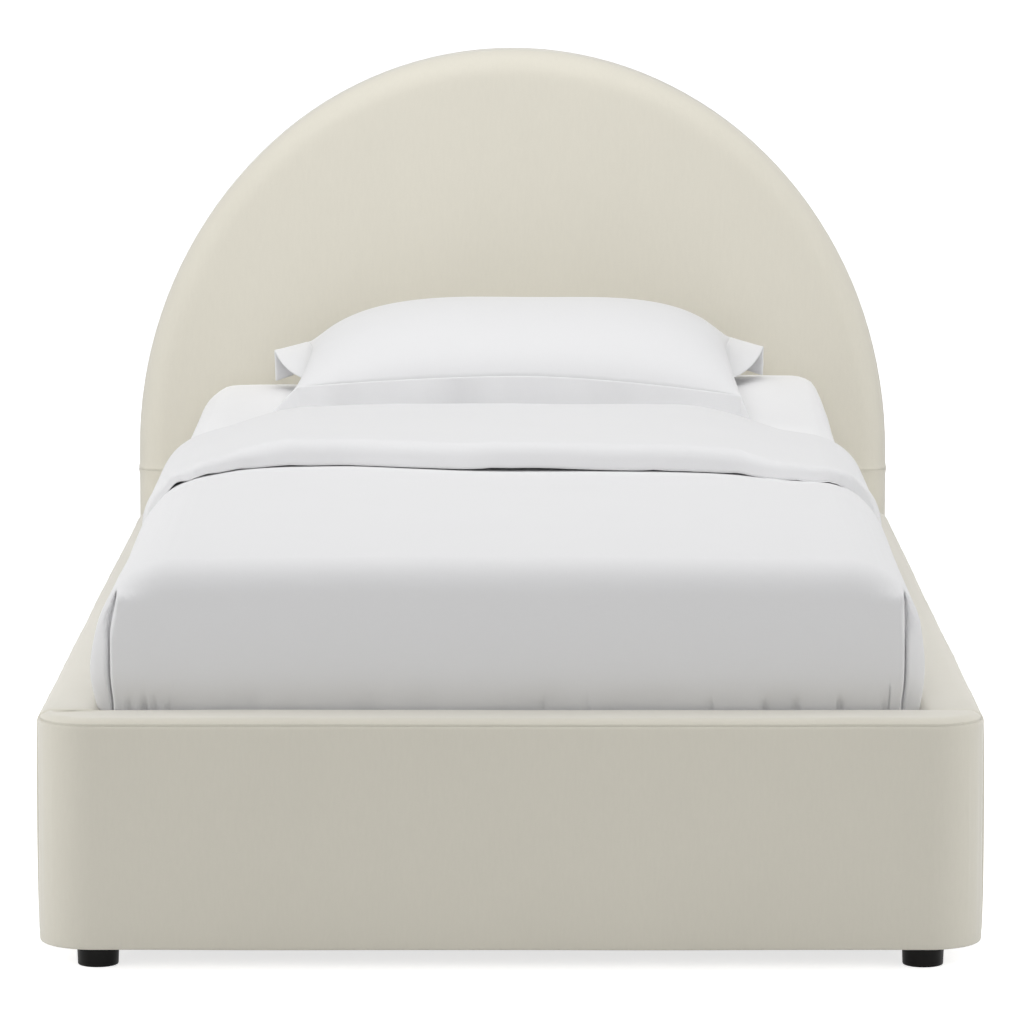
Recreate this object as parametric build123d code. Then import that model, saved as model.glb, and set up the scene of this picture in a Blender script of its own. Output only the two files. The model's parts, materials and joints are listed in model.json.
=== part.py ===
from build123d import *
import os

# Upholstered platform bed with an arched headboard, dressed with a mattress, duvet and pillow.
# Millimetres, +Z up. The origin is on the floor under the middle of the bed, the foot end faces -Y.

# Bed frame
bay_width = 1006
bay_length = 1925
rail_thick = 77
foot_thick = 77
head_thick = 95
feet_height = 26
panel_height = 285

# Padded panels
cover_thick = 2
face_foam = 18
top_foam = 14
outer_board = 12
inner_board = 16
outer_round = 18
inner_round = 15
base_round = 12
cover_round = 4
foot_corner = 72
seam_drop = 8.5
strip_height = 42
post_length = 70
corner_block = 110
rail_posts = 5

# Headboard
head_height = 1026
arch_rise = 622.5
arch_seam_gap = 28
head_round = 40
head_back_round = 6
head_foam = 30
rim_foam = 16
face_board = 9
rim_width = 78
upright_width = 90
upright_offset = 200
cross_rail_height = 80
cross_rail_drop = 400
apron_drop = 60
turn_in = 36
dust_cloth = 1
cloth_margin = 3

# Slat deck
deck_drop = 65
slat_count = 12
slat_width = 80
slat_thick = 18
slat_round = 3
slat_end_gap = 4
deck_end_gap = 34
ledger_width = 32
ledger_height = 45
ledger_end_gap = 6
ledger_bevel = 8
strap_width = 30
strap_thick = 1.6
strap_offset = 290

# Centre beam and legs
beam_width = 34
beam_height = 70
beam_end_gap = 1
leg_side = 46
leg_round = 6
leg_offset = 420
glide_radius = 17
glide_height = 9
glide_edge = 2
glide_stem_radius = 5
glide_stem_length = 30
cup_steel = 3
cup_depth = 32
cup_ear = 22
cup_gap = 0.5

# Corner brackets and fasteners
bracket_steel = 4
bracket_height = 110
bracket_leaf = 74
bracket_bend = 5
bracket_drop = 20
bolt_radius = 4
bolt_slack = 0.4
bolt_head_radius = 7.5
bolt_head_height = 5.3
bolt_head_sides = 6
bolt_spacing = 60
bolt_reach = 18
insert_wall = 3
insert_length = 13
screw_radius = 2.5
screw_head_radius = 5
screw_head_height = 2.5
screw_count = 5
screw_end_gap = 120
screw_reach = 14
thread_slack = 0.1

# Feet
foot_top_radius = 26
foot_base_radius = 25
foot_edge = 2
foot_side_inset = 74
foot_front_inset = 50
stud_radius = 4
stud_reach = 30
stud_depth = 16

# Mattress and fitted sheet
side_gap = 23
foot_gap = 18
head_gap = 3
mattress_thick = 254
mattress_crown = 4
mattress_corner = 50
mattress_end = 38
mattress_base_round = 22
ticking = 3
sheet_thick = 1.5
sheet_turn = 90
rest_gap = 0.3
bed_lean = 0.9
lean_depth = 40

# Duvet
duvet_thick = 18
duvet_corner = 90
duvet_end = 58
duvet_head_gap = 510
duvet_bay_gap = 2.5
duvet_foot_gap = 4
duvet_bulge = 9
duvet_floor_gap = 16
duvet_slack = 1
band_thick = 18
band_length = 590
band_edge = 8
band_drop = 150
crease_round = 15
fold_inset = 19
fold_width = 14
fold_depth = 50
fold_rise = 18
fold_drop = 62

# Pillow with a flanged sham
pillow_width = 650
pillow_depth = 392
pillow_rise = 105
pillow_fall = 62
pillow_gap = 18
sham_thick = 3
sham_gap = 0.4
flange_width = 50
flange_thick = 5
flange_corner = 18
flange_fall = 44

# Overrun of every cutting tool past the piece it cuts
overrun = 5

# Places that follow from the sizes
frame_width = bay_width + 2 * rail_thick
half_frame = frame_width / 2
half_bay = bay_width / 2
frame_length = foot_thick + bay_length + head_thick
y_front = -frame_length / 2
y_bay_front = y_front + foot_thick
y_bay_back = y_bay_front + bay_length
y_bay_mid = (y_bay_front + y_bay_back) / 2
y_back = frame_length / 2
panel_top = feet_height + panel_height
seam_height = panel_top - seam_drop
core_base = feet_height + cover_thick
core_top = panel_top - cover_thick - top_foam
slat_top = panel_top - deck_drop
slat_base = slat_top - slat_thick
ledger_base = slat_base - ledger_height
beam_base = slat_base - beam_height
bracket_top = ledger_base - bracket_drop
bracket_mid = bracket_top - bracket_height / 2
screw_height = ledger_base + ledger_height / 2
apron_top = panel_top - apron_drop
head_seam = head_height - arch_rise - arch_seam_gap
head_core_front = y_bay_back + cover_thick + head_foam
head_core_back = y_back - cover_thick
foot_x = half_frame - foot_side_inset
front_foot_y = y_front + foot_front_inset
rear_foot_y = (head_core_front + face_board + head_core_back) / 2
mattress_base = slat_top + rest_gap + sheet_thick
mattress_edge = mattress_base + mattress_thick
mattress_top = mattress_edge + mattress_crown
half_mattress = half_bay - side_gap
mattress_front = y_bay_front + foot_gap
mattress_back = y_bay_back - head_gap


def block(x_low, x_high, y_low, y_high, z_low, z_high):
    # A plain box between two corners
    middle = Pos((x_low + x_high) / 2, (y_low + y_high) / 2, (z_low + z_high) / 2)
    return middle * Box(x_high - x_low, y_high - y_low, z_high - z_low)


def across(face, y_high, y_low):
    # A face drawn in X and Z, pushed along the bed from y_high to y_low
    return extrude(Plane.XZ.offset(-y_high) * face, amount=y_high - y_low)


def rod(radius, start, direction, length):
    # A round bar from a point along a direction
    return extrude(Plane(origin=start, z_dir=direction) * Circle(radius), amount=length)


def mirror_x(piece):
    return mirror(piece, about=Plane.YZ)


def mirror_ends(piece):
    return mirror(piece, about=Plane.XZ.offset(-y_bay_mid))


def four_corners(piece):
    ends = [piece, mirror_ends(piece)]
    return ends + [mirror_x(end) for end in ends]


# Padded side rails

def rail_profile(inset):
    # Section of a padded rail: soft outer edges, tighter inner ones
    low = half_bay + inset
    high = half_frame - inset
    base = feet_height + inset
    top = panel_top - inset
    radii = [cover_round - inset, base_round - inset, outer_round - inset, inner_round - inset]
    corners = [(low, base), (high, base), (high, top), (low, top)]
    return make_face(FilletPolyline(*corners, radius=radii, close=True))


def rail_solid(inset):
    return across(rail_profile(inset), y_bay_back, y_bay_front)


def rail_band(x_low, x_high):
    # The core's space between two distances from the middle of the bed
    space = block(x_low, x_high, y_bay_front, y_bay_back, core_base, core_top)
    return space & rail_solid(cover_thick)


def rail_pieces():
    # Right rail: boards with a ladder of strips between, foam, and a cover in two panels
    inner_face = half_bay + cover_thick
    outer_face = half_frame - cover_thick - face_foam
    inner = rail_band(inner_face, inner_face + inner_board) - bolt_holes() - screw_holes()
    outer = rail_band(outer_face - outer_board, outer_face)
    ladder = rail_band(inner_face + inner_board, outer_face - outer_board)
    ladder -= ladder_windows(y_bay_front, y_bay_back)
    foam = rail_solid(cover_thick) - rail_band(inner_face, outer_face)
    shell = rail_solid(0) - rail_solid(cover_thick) - bolt_holes() - screw_holes()
    face_side = block(half_bay + rail_thick / 2, half_frame + overrun, y_bay_front - overrun,
                      y_bay_back + overrun, 0, seam_height)
    return {"side_rail_inner_board": inner, "side_rail_outer_board": outer,
            "side_rail_frame": ladder, "side_rail_foam": foam,
            "side_rail_face_cover": shell & face_side, "side_rail_top_cover": shell - face_side}


def ladder_windows(y_low, y_high):
    # The spaces between the posts of a rail's inner ladder
    pitch = (y_high - y_low - post_length) / (rail_posts - 1)
    base = core_base + strip_height
    top = core_top - strip_height
    bays = [y_low + post_length + pitch * count for count in range(rail_posts - 1)]
    windows = [block(half_bay, half_frame, low, low + pitch - post_length, base, top) for low in bays]
    return Part() + windows


# Footboard with rounded corners

def foot_solid(inset, face_inset=0):
    # The footboard's body; face_inset draws in the front and the ends further
    half = half_frame - inset - face_inset
    front = y_front + inset + face_inset
    back = y_bay_front - inset
    corner = foot_corner - inset - face_inset
    outline = FilletPolyline((-half, front), (half, front), (half, back), (-half, back),
                             radius=[corner, corner, 0, 0], close=True)
    base = feet_height + inset
    top = panel_top - inset
    body = extrude(Plane.XY.offset(base) * make_face(outline), amount=top - base)
    if face_inset:
        return body
    rim = body.faces().sort_by(Axis.Z)[-1].edges()
    inner_edge = rim.sort_by(Axis.Y)[-1]
    outer_edges = [edge for edge in rim if edge.center().Y < inner_edge.center().Y - overrun]
    body = fillet(outer_edges, outer_round - inset)
    inner_edge = body.faces().sort_by(Axis.Z)[-1].edges().sort_by(Axis.Y)[-1]
    body = fillet(inner_edge, inner_round - inset)
    foot_rim = body.faces().sort_by(Axis.Z)[0].edges()
    low_edges = [edge for edge in foot_rim if edge.center().Y < y_bay_front - inset - overrun]
    return fillet(low_edges, base_round - inset)


def foot_core(front_inset, y_high):
    # The timber space behind the face foam, from one layer inwards
    core = foot_solid(cover_thick, front_inset) & foot_solid(cover_thick)
    return core & block(-half_frame, half_frame, y_front, y_high, core_base, core_top)


def footboard_pieces():
    inner_face = y_bay_front - cover_thick
    whole = foot_core(face_foam, inner_face)
    hollow = foot_core(face_foam + outer_board, inner_face - inner_board)
    outer = whole - hollow - block(-half_frame, half_frame, inner_face - inner_board, y_bay_front,
                                   0, panel_top)
    inner = whole & block(-half_frame, half_frame, inner_face - inner_board, inner_face,
                          core_base, core_top)
    ladder = hollow - foot_windows() - stud_holes()
    filled = foot_solid(cover_thick)
    shell = foot_solid(0) - filled - bolt_holes() - stud_holes() - cup_screw_holes()
    inner_side = block(-half_bay, half_bay, y_bay_front - foot_thick / 2, y_bay_front + overrun,
                       0, panel_top)
    lower = block(-half_frame - overrun, half_frame + overrun, y_front - overrun,
                  y_bay_front + overrun, 0, seam_height)
    face_side = lower - inner_side
    return {"footboard_outer_board": outer,
            "footboard_inner_board": inner - bolt_holes() - cup_screw_holes(),
            "footboard_frame": ladder, "footboard_foam": filled - whole,
            "footboard_face_cover": shell & face_side, "footboard_top_cover": shell - face_side}


def foot_windows():
    # Spaces between the footboard's posts: solid blocks stay at both corners and in the middle
    base = core_base + strip_height
    top = core_top - strip_height
    edge = half_frame - corner_block - cover_thick - face_foam
    right = block(post_length / 2, edge, y_front, y_bay_front, base, top)
    return Part() + [right, mirror_x(right)]


# Arched headboard

def arch_face(inset, base):
    # Upright sides that turn into half an ellipse
    half = half_frame - inset
    spring = head_height - arch_rise
    crown = EllipticalCenterArc((0, spring), half, arch_rise - inset, 0, arc_size=180)
    sides = Polyline((-half, spring), (-half, base), (half, base), (half, spring))
    return make_face([crown] + sides.edges())


def arch_solid(inset, base, y_low, y_high):
    return across(arch_face(inset, base), y_high, y_low)


def padded_arch(inset):
    # The upholstered outside, well rounded at the front and slightly at the back
    base = feet_height + inset
    slab = arch_solid(inset, base, y_bay_back + inset, y_back - inset)
    front_rim = slab.faces().sort_by(Axis.Y)[0].edges().sort_by(Axis.Z)[1:]
    slab = fillet(front_rim, head_round - inset)
    back_rim = slab.faces().sort_by(Axis.Y)[-1].edges().sort_by(Axis.Z)[1:]
    return fillet(back_rim, head_back_round - inset)


def head_timber():
    # Arched rim, two uprights, and cross rails for the side rails and the arch
    y_low = head_core_front + face_board
    rim = cover_thick + rim_foam
    slab = arch_solid(rim, core_base, y_low, head_core_back)
    window = arch_solid(rim + rim_width, core_base + cross_rail_height,
                        y_low - overrun, head_core_back + overrun)
    uprights = [block(side * upright_offset - upright_width / 2, side * upright_offset + upright_width / 2,
                      y_low - overrun, head_core_back + overrun, 0, head_height) for side in (-1, 1)]
    rail_tops = [apron_top, head_height - cross_rail_drop]
    rails = [block(-half_frame, half_frame, y_low - overrun, head_core_back + overrun,
                   top - cross_rail_height, top) for top in rail_tops]
    return slab - (window - uprights - rails) - stud_holes()


def headboard_pieces():
    rim = cover_thick + rim_foam
    board_back = head_core_front + face_board
    apron_half = half_frame - rim
    apron = block(-apron_half, apron_half, y_bay_back + cover_thick, head_core_front,
                  core_base, apron_top)
    apron &= padded_arch(cover_thick)
    filled = padded_arch(cover_thick)
    core = arch_solid(rim, core_base, head_core_front, head_core_back)
    back_window = arch_solid(turn_in, feet_height + turn_in, head_core_back, y_back + overrun)
    shell = padded_arch(0) - filled - back_window - bolt_holes() - stud_holes() - cup_screw_holes()
    lower = block(-half_frame - overrun, half_frame + overrun, y_bay_back - overrun,
                  y_back + overrun, 0, head_seam)
    cloth_inset = turn_in + cloth_margin
    return {"headboard_apron": apron - bolt_holes() - cup_screw_holes(),
            "headboard_face_board": arch_solid(rim, core_base, head_core_front, board_back),
            "headboard_timber_frame": head_timber(),
            "headboard_foam": filled - core - apron,
            "headboard_upper_cover": shell - lower, "headboard_lower_cover": shell & lower,
            "headboard_back_cloth": arch_solid(cloth_inset, feet_height + cloth_inset,
                                               head_core_back, head_core_back + dust_cloth)}


# Brackets and fasteners in the four corners of the bay

def bolt_places():
    # Start points and directions of one corner's bolts, on the faces of its bracket
    heights = [bracket_mid - bolt_spacing / 2, bracket_mid + bolt_spacing / 2]
    out = bracket_steel + (bracket_leaf - bracket_steel) / 2
    on_rail = [((half_bay - bracket_steel, y_bay_front + out, height), (1, 0, 0)) for height in heights]
    on_end = [((half_bay - out, y_bay_front + bracket_steel, height), (0, -1, 0)) for height in heights]
    return on_rail + on_end


def bolt_holes():
    # Clearance for the bolts and their inserts through brackets, covers and boards
    wide = bolt_radius + insert_wall
    holes = []
    for start, direction in bolt_places():
        holes.append(rod(bolt_radius + bolt_slack, start, direction, bracket_steel + cover_thick))
        seat = Vector(start) + Vector(direction) * (bracket_steel + cover_thick)
        holes.append(rod(wide, seat, direction, inner_board))
    return Part() + four_corners(Part() + holes)


def hardware_pieces():
    brackets, bolts, inserts = corner_bracket(), [], []
    for start, direction in bolt_places():
        head_plane = Plane(origin=start, z_dir=direction).offset(-bolt_head_height)
        head_shape = RegularPolygon(bolt_head_radius, bolt_head_sides)
        head = extrude(head_plane * head_shape, amount=bolt_head_height)
        bolts.append(head + rod(bolt_radius, start, direction, bolt_reach))
        seat = Vector(start) + Vector(direction) * (bracket_steel + cover_thick)
        sleeve = rod(bolt_radius + insert_wall, seat, direction, insert_length)
        inserts.append(sleeve - rod(bolt_radius + thread_slack, seat, direction, insert_length))
    return {"corner_brackets": four_corners(brackets),
            "corner_bolts": four_corners(Part() + bolts),
            "threaded_inserts": four_corners(Part() + inserts)}


def corner_bracket():
    # An angle of bent steel, standing in the corner between a rail and an end panel
    low_x = half_bay - bracket_leaf
    high_y = y_bay_front + bracket_leaf
    inner_x = half_bay - bracket_steel
    inner_y = y_bay_front + bracket_steel
    points = [(low_x, y_bay_front), (half_bay, y_bay_front), (half_bay, high_y),
              (inner_x, high_y), (inner_x, inner_y), (low_x, inner_y)]
    radii = [0, bracket_bend + bracket_steel, 0, 0, bracket_bend, 0]
    outline = make_face(FilletPolyline(*points, radius=radii, close=True))
    angle = extrude(Plane.XY.offset(bracket_top - bracket_height) * outline, amount=bracket_height)
    for start, direction in bolt_places():
        angle -= rod(bolt_radius + bolt_slack, start, direction, bracket_steel)
    return angle


# Slat deck with its ledgers, webbing and centre beam

def slat_places():
    first = y_bay_front + deck_end_gap + slat_width / 2
    last = y_bay_back - deck_end_gap - slat_width / 2
    return [first + (last - first) * count / (slat_count - 1) for count in range(slat_count)]


def slat(y_middle):
    # A planed board with eased edges, laid across the bed
    face = Plane.YZ * Pos(y_middle, slat_base + slat_thick / 2) * RectangleRounded(slat_width, slat_thick,
                                                                                  slat_round)
    return extrude(face, amount=half_bay - slat_end_gap, both=True)


def slat_straps():
    # Webbing stapled under every slat, one band on each side
    places = slat_places()
    right = block(strap_offset - strap_width / 2, strap_offset + strap_width / 2,
                  places[0] - slat_width / 2, places[-1] + slat_width / 2,
                  slat_base - strap_thick, slat_base)
    return [right, mirror_x(right)]


def screw_places():
    # Middles of the ledger screws along the rail
    first = y_bay_front + screw_end_gap
    last = y_bay_back - screw_end_gap
    return [first + (last - first) * count / (screw_count - 1) for count in range(screw_count)]


def screw_holes():
    start_x = half_bay - ledger_width
    reach = ledger_width + cover_thick + screw_reach
    return Part() + [rod(screw_radius + thread_slack, (start_x, place, screw_height), (1, 0, 0), reach)
                     for place in screw_places()]


def slat_ledger():
    # Timber batten screwed to the rail, bevelled below, that the slats lie on
    low = half_bay - ledger_width
    points = [(half_bay, ledger_base), (half_bay, slat_base), (low, slat_base),
              (low, ledger_base + ledger_bevel), (low + ledger_bevel, ledger_base)]
    face = make_face(Polyline(*points, close=True))
    return across(face, y_bay_back - ledger_end_gap, y_bay_front + ledger_end_gap) - screw_holes()


def ledger_screws():
    screws = []
    for place in screw_places():
        start = (half_bay - ledger_width, place, screw_height)
        head = rod(screw_head_radius, start, (-1, 0, 0), screw_head_height)
        screws.append(head + rod(screw_radius, start, (1, 0, 0), ledger_width + cover_thick + screw_reach))
    right = Part() + screws
    return [right, mirror_x(right)]


def beam_cup():
    # A folded steel cup on the footboard that the beam's end drops into
    half = beam_width / 2 + cup_gap
    floor = beam_base - cup_gap
    base = floor - cup_steel
    low, high = y_bay_front, y_bay_front + cup_depth
    plate = block(-half - cup_steel - cup_ear, half + cup_steel + cup_ear, low, low + cup_steel,
                  base, slat_base - cup_steel)
    cradle = block(-half - cup_steel, half + cup_steel, low, high, base, slat_base - cup_steel)
    cradle -= block(-half, half, low, high + overrun, floor, slat_base)
    return plate + cradle - cup_screw_holes()


def cup_screw_holes():
    # Holes for the cup's screws, at both ends of the bed
    x_place = beam_width / 2 + cup_gap + cup_steel + cup_ear / 2
    height = beam_base + beam_height / 2
    reach = cup_steel + cover_thick + screw_reach
    holes = [rod(screw_radius + thread_slack, (side * x_place, y_bay_front + cup_steel, height),
                 (0, -1, 0), reach) for side in (-1, 1)]
    pair = Part() + holes
    return Part() + [pair, mirror_ends(pair)]


def cup_screws():
    x_place = beam_width / 2 + cup_gap + cup_steel + cup_ear / 2
    height = beam_base + beam_height / 2
    screws = []
    for side in (-1, 1):
        start = (side * x_place, y_bay_front + cup_steel, height)
        head = rod(screw_head_radius, start, (0, 1, 0), screw_head_height)
        screws.append(head + rod(screw_radius, start, (0, -1, 0), cup_steel + cover_thick + screw_reach))
    pair = Part() + screws
    return [pair, mirror_ends(pair)]


def center_beam():
    end_gap = cup_steel + beam_end_gap
    half = beam_width / 2
    return block(-half, half, y_bay_front + end_gap, y_bay_back - end_gap, beam_base, slat_base)


def center_leg(y_middle):
    # Square leg with eased corners, bored below for its levelling glide
    face = Pos(0, y_middle, glide_height) * RectangleRounded(leg_side, leg_side, leg_round)
    leg = extrude(face, amount=beam_base - glide_height)
    bore = rod(glide_stem_radius + thread_slack, (0, y_middle, glide_height), (0, 0, 1),
               glide_stem_length + cup_gap)
    return leg - bore


def leg_glide(y_middle):
    disc = Pos(0, y_middle, 0) * extrude(Circle(glide_radius), amount=glide_height)
    disc = fillet(disc.edges().group_by(Axis.Z)[0], glide_edge)
    return disc + rod(glide_stem_radius, (0, y_middle, glide_height), (0, 0, 1), glide_stem_length)


# Round feet

def foot_places():
    return {"front_right": (foot_x, front_foot_y), "front_left": (-foot_x, front_foot_y),
            "rear_right": (foot_x, rear_foot_y), "rear_left": (-foot_x, rear_foot_y)}


def round_foot(x_middle, y_middle):
    # Short tapered puck with an eased rim and a blind hole for its stud
    points = [(0, 0), (foot_base_radius, 0), (foot_top_radius, feet_height), (0, feet_height)]
    half_section = FilletPolyline(*points, radius=[0, foot_edge, 0, 0], close=True)
    puck = revolve(Plane.XZ * make_face(half_section), Axis.Z)
    bore = rod(stud_radius + thread_slack, (0, 0, feet_height - stud_depth), (0, 0, 1), stud_depth)
    return Pos(x_middle, y_middle, 0) * (puck - bore)


def stud_holes():
    base = feet_height - stud_depth
    reach = stud_depth + stud_reach
    return Part() + [rod(stud_radius + thread_slack, (x_place, y_place, base), (0, 0, 1), reach)
                     for x_place, y_place in foot_places().values()]


def foot_studs():
    base = feet_height - stud_depth
    reach = stud_depth + stud_reach
    return [rod(stud_radius, (x_place, y_place, base), (0, 0, 1), reach)
            for x_place, y_place in foot_places().values()]


# Mattress with its fitted sheet

def leaned(piece):
    # Bedding falls a little towards the foot, turned about the head end of the mattress
    pivot = Pos(0, mattress_back, mattress_base)
    return pivot * Rot(bed_lean, 0, 0) * pivot.inverse() * piece


def crowned_block(half, base, edge, crown, corner, y_low, y_high, end_round):
    # A long cushion: crowned top, soft shoulders, and a softened foot end
    apex = edge + crown
    outline = [Line((-half, edge), (-half, base)), Line((-half, base), (half, base)),
               Line((half, base), (half, edge)), ThreePointArc((half, edge), (0, apex), (-half, edge))]
    face = make_face(outline)
    rows = face.vertices().sort_by(Axis.Y)
    body = across(fillet(rows[-2:], corner), y_high, y_low)
    foot_rim = body.faces().sort_by(Axis.Y)[0].edges().sort_by(Axis.Z)[1:]
    return fillet(foot_rim, end_round)


def level_base(piece, base):
    # Cuts the leaned bedding level underneath
    return piece & block(-half_frame, half_frame, y_front, y_back, base, head_height)


def mattress_solid(grow):
    # The mattress, grown outwards by a skin; its head end is softened too
    body = crowned_block(half_mattress + grow, mattress_base - lean_depth, mattress_edge + grow,
                         mattress_crown, mattress_corner + grow,
                         mattress_front - grow, mattress_back + grow, mattress_end + grow)
    head_rim = body.faces().sort_by(Axis.Y)[-1].edges().sort_by(Axis.Z)[1:]
    body = level_base(leaned(fillet(head_rim, mattress_end + grow)), mattress_base - grow)
    base_rim = body.faces().sort_by(Axis.Z)[0].edges()
    return fillet(base_rim, mattress_base_round + grow)


def mattress_pieces():
    core = mattress_solid(-ticking - rest_gap)
    cover = mattress_solid(0)
    window = block(-half_mattress + sheet_turn, half_mattress - sheet_turn,
                   mattress_front + sheet_turn, mattress_back - sheet_turn, 0, mattress_base)
    return {"mattress_core": core, "mattress_cover": cover - mattress_solid(-ticking),
            "fitted_sheet": mattress_solid(sheet_thick) - cover - window}


# Duvet, tucked in at the foot and turned back at the head

def duvet_top(grow, y_low, y_high):
    # The space under the duvet's upper surface, grown upwards by a turned-back layer
    half = half_bay - duvet_bay_gap
    edge = mattress_edge + sheet_thick + duvet_thick + grow
    base = mattress_base - lean_depth
    return crowned_block(half, base, edge, mattress_crown, duvet_corner, y_low, y_high, duvet_end)


def duvet_flanks():
    # The side falls bulge over the rails, above the bay
    half = half_bay - duvet_bay_gap
    low = panel_top + duvet_foot_gap
    high = mattress_edge + duvet_thick - duvet_corner - lean_depth
    face = make_face([ThreePointArc((half, low), (half + duvet_bulge, (low + high) / 2), (half, high)),
                      Line((half, high), (half - overrun, high)),
                      Line((half - overrun, high), (half - overrun, low)),
                      Line((half - overrun, low), (half, low))])
    return face


def duvet():
    front = y_bay_front + duvet_foot_gap
    crease = y_bay_back - duvet_head_gap
    body = leaned(duvet_top(0, front, crease) + turned_band(crease))
    body = level_base(body, slat_top + duvet_floor_gap)
    flank = across(duvet_flanks(), crease - duvet_end, front + duvet_end)
    body += [flank, mirror_x(flank)]
    hollow = mattress_solid(sheet_thick + duvet_slack)
    below = block(-half_mattress - sheet_thick - duvet_slack, half_mattress + sheet_thick + duvet_slack,
                  mattress_front - sheet_thick - duvet_slack, mattress_back, 0,
                  mattress_base + mattress_base_round)
    return body - hollow - below - corner_folds(front)


def turned_band(crease):
    # The turned-back layer: a second thickness from its hem to the crease
    y_hem = crease - band_length
    base = mattress_edge - band_drop
    band = duvet_top(band_thick, y_hem - duvet_end, crease)
    band &= block(-half_frame, half_frame, y_hem, crease, base, head_height)
    crease_rim = band.faces().sort_by(Axis.Y)[-1].edges().sort_by(Axis.Z)[1:]
    band = fillet(crease_rim, crease_round)
    hem_rim = band.faces().sort_by(Axis.Y)[0].edges().sort_by(Axis.Z)[1:]
    return fillet(hem_rim, band_edge)


def corner_folds(front):
    # Upright folds where the front fall meets the side falls
    edge = half_bay - duvet_bay_gap - fold_inset
    base = panel_top + fold_rise
    top = mattress_edge - fold_drop
    outline = Polyline((edge - fold_width / 2, front - overrun), (edge + fold_width / 2, front - overrun),
                       (edge, front + fold_depth / 2), close=True)
    wedge = extrude(Plane.XY.offset(base) * make_face(outline), amount=top - base)
    return [wedge, mirror_x(wedge)]


# Pillow in a flanged sham

pillow_spread_share = [-1, -0.93, -0.78, -0.45, 0, 0.45, 0.78, 0.93, 1]
pillow_depth_share = [0.90, 0.93, 0.96, 0.99, 1, 0.99, 0.96, 0.93, 0.90]
pillow_height_share = [0.16, 0.52, 0.80, 0.97, 1, 0.97, 0.80, 0.52, 0.16]


def pillow_solid(inset):
    # Lens-shaped sections across the bed: full in the middle, thin at the ends
    back = y_bay_back - pillow_gap - flange_width
    y_middle = back - pillow_depth / 2
    height = mattress_top + sheet_thick + rest_gap + pillow_fall
    sections = []
    for spread, depth, swell in zip(pillow_spread_share, pillow_depth_share, pillow_height_share):
        half = depth * pillow_depth / 2 - inset
        rise = swell * pillow_rise - inset
        fall = swell * pillow_fall - inset
        plane = Plane(origin=(spread * (pillow_width / 2 - inset), y_middle, height),
                      x_dir=(0, 1, 0), z_dir=(1, 0, 0))
        lens = make_face([ThreePointArc((-half, 0), (0, rise), (half, 0)),
                          ThreePointArc((half, 0), (0, -fall), (-half, 0))])
        sections.append(plane * lens)
    return loft(sections)


def sham_flange():
    # A flat border round the sham; its front strip droops onto the bed
    back = y_bay_back - pillow_gap
    front = back - flange_width - pillow_depth
    height = mattress_top + sheet_thick + rest_gap + pillow_fall
    half = pillow_width / 2 + flange_width
    outline = RectangleRounded(2 * half, back - front, flange_corner)
    plate = extrude(Pos(0, (front + back) / 2, height - flange_thick / 2) * outline, amount=flange_thick)
    low_front = front - flange_width + flange_thick
    strip = make_face(Polyline((front, height + flange_thick / 2), (low_front, height - flange_fall),
                               (low_front + flange_thick, height - flange_fall),
                               (front + flange_thick, height - flange_thick / 2), close=True))
    droop = extrude(Plane.YZ * strip, amount=half - flange_corner, both=True)
    return plate + droop


def pillow_pieces():
    outer = pillow_solid(0) + sham_flange()
    return {"pillow_sham": leaned(outer - pillow_solid(sham_thick)),
            "pillow_insert": leaned(pillow_solid(sham_thick + sham_gap))}


def sides(name, piece):
    # The same piece on the right and, mirrored, on the left
    return {name + "_right": piece, name + "_left": mirror_x(piece)}


def all_pieces():
    pieces = {}
    pieces.update(headboard_pieces())
    pieces.update(footboard_pieces())
    for name, piece in rail_pieces().items():
        pieces.update(sides(name, piece))
    pieces.update(sides("slat_ledger", slat_ledger()))
    pieces["center_beam"] = center_beam()
    cup = beam_cup()
    pieces["beam_cups"] = [cup, mirror_ends(cup)]
    legs = {"center_leg_front": y_bay_mid - leg_offset, "center_leg_rear": y_bay_mid + leg_offset}
    for name, place in legs.items():
        pieces[name] = center_leg(place)
    pieces["leg_glides"] = [leg_glide(place) for place in legs.values()]
    for count, place in enumerate(slat_places()):
        pieces[f"slat_{count + 1:02d}"] = slat(place)
    pieces["slat_straps"] = slat_straps()
    pieces.update(hardware_pieces())
    pieces["wood_screws"] = ledger_screws() + cup_screws()
    for name, (x_place, y_place) in foot_places().items():
        pieces["foot_" + name] = round_foot(x_place, y_place)
    pieces["foot_studs"] = foot_studs()
    pieces.update(mattress_pieces())
    pieces["duvet"] = duvet()
    pieces.update(pillow_pieces())
    return pieces


def main():
    os.makedirs("parts", exist_ok=True)
    for name, piece in all_pieces().items():
        solids = ShapeList([item for part in piece for item in part.solids()]) if isinstance(piece, list) \
            else piece.solids()
        node = solids[0] if len(solids) == 1 else Compound(solids)
        node.label = name
        export_step(node, f"parts/{name}.step")
        print(name, len(solids), round(sum(solid.volume for solid in solids)))


main()
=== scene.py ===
import json
import math

import bmesh
import bpy
from mathutils import Matrix, Vector, noise


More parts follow.
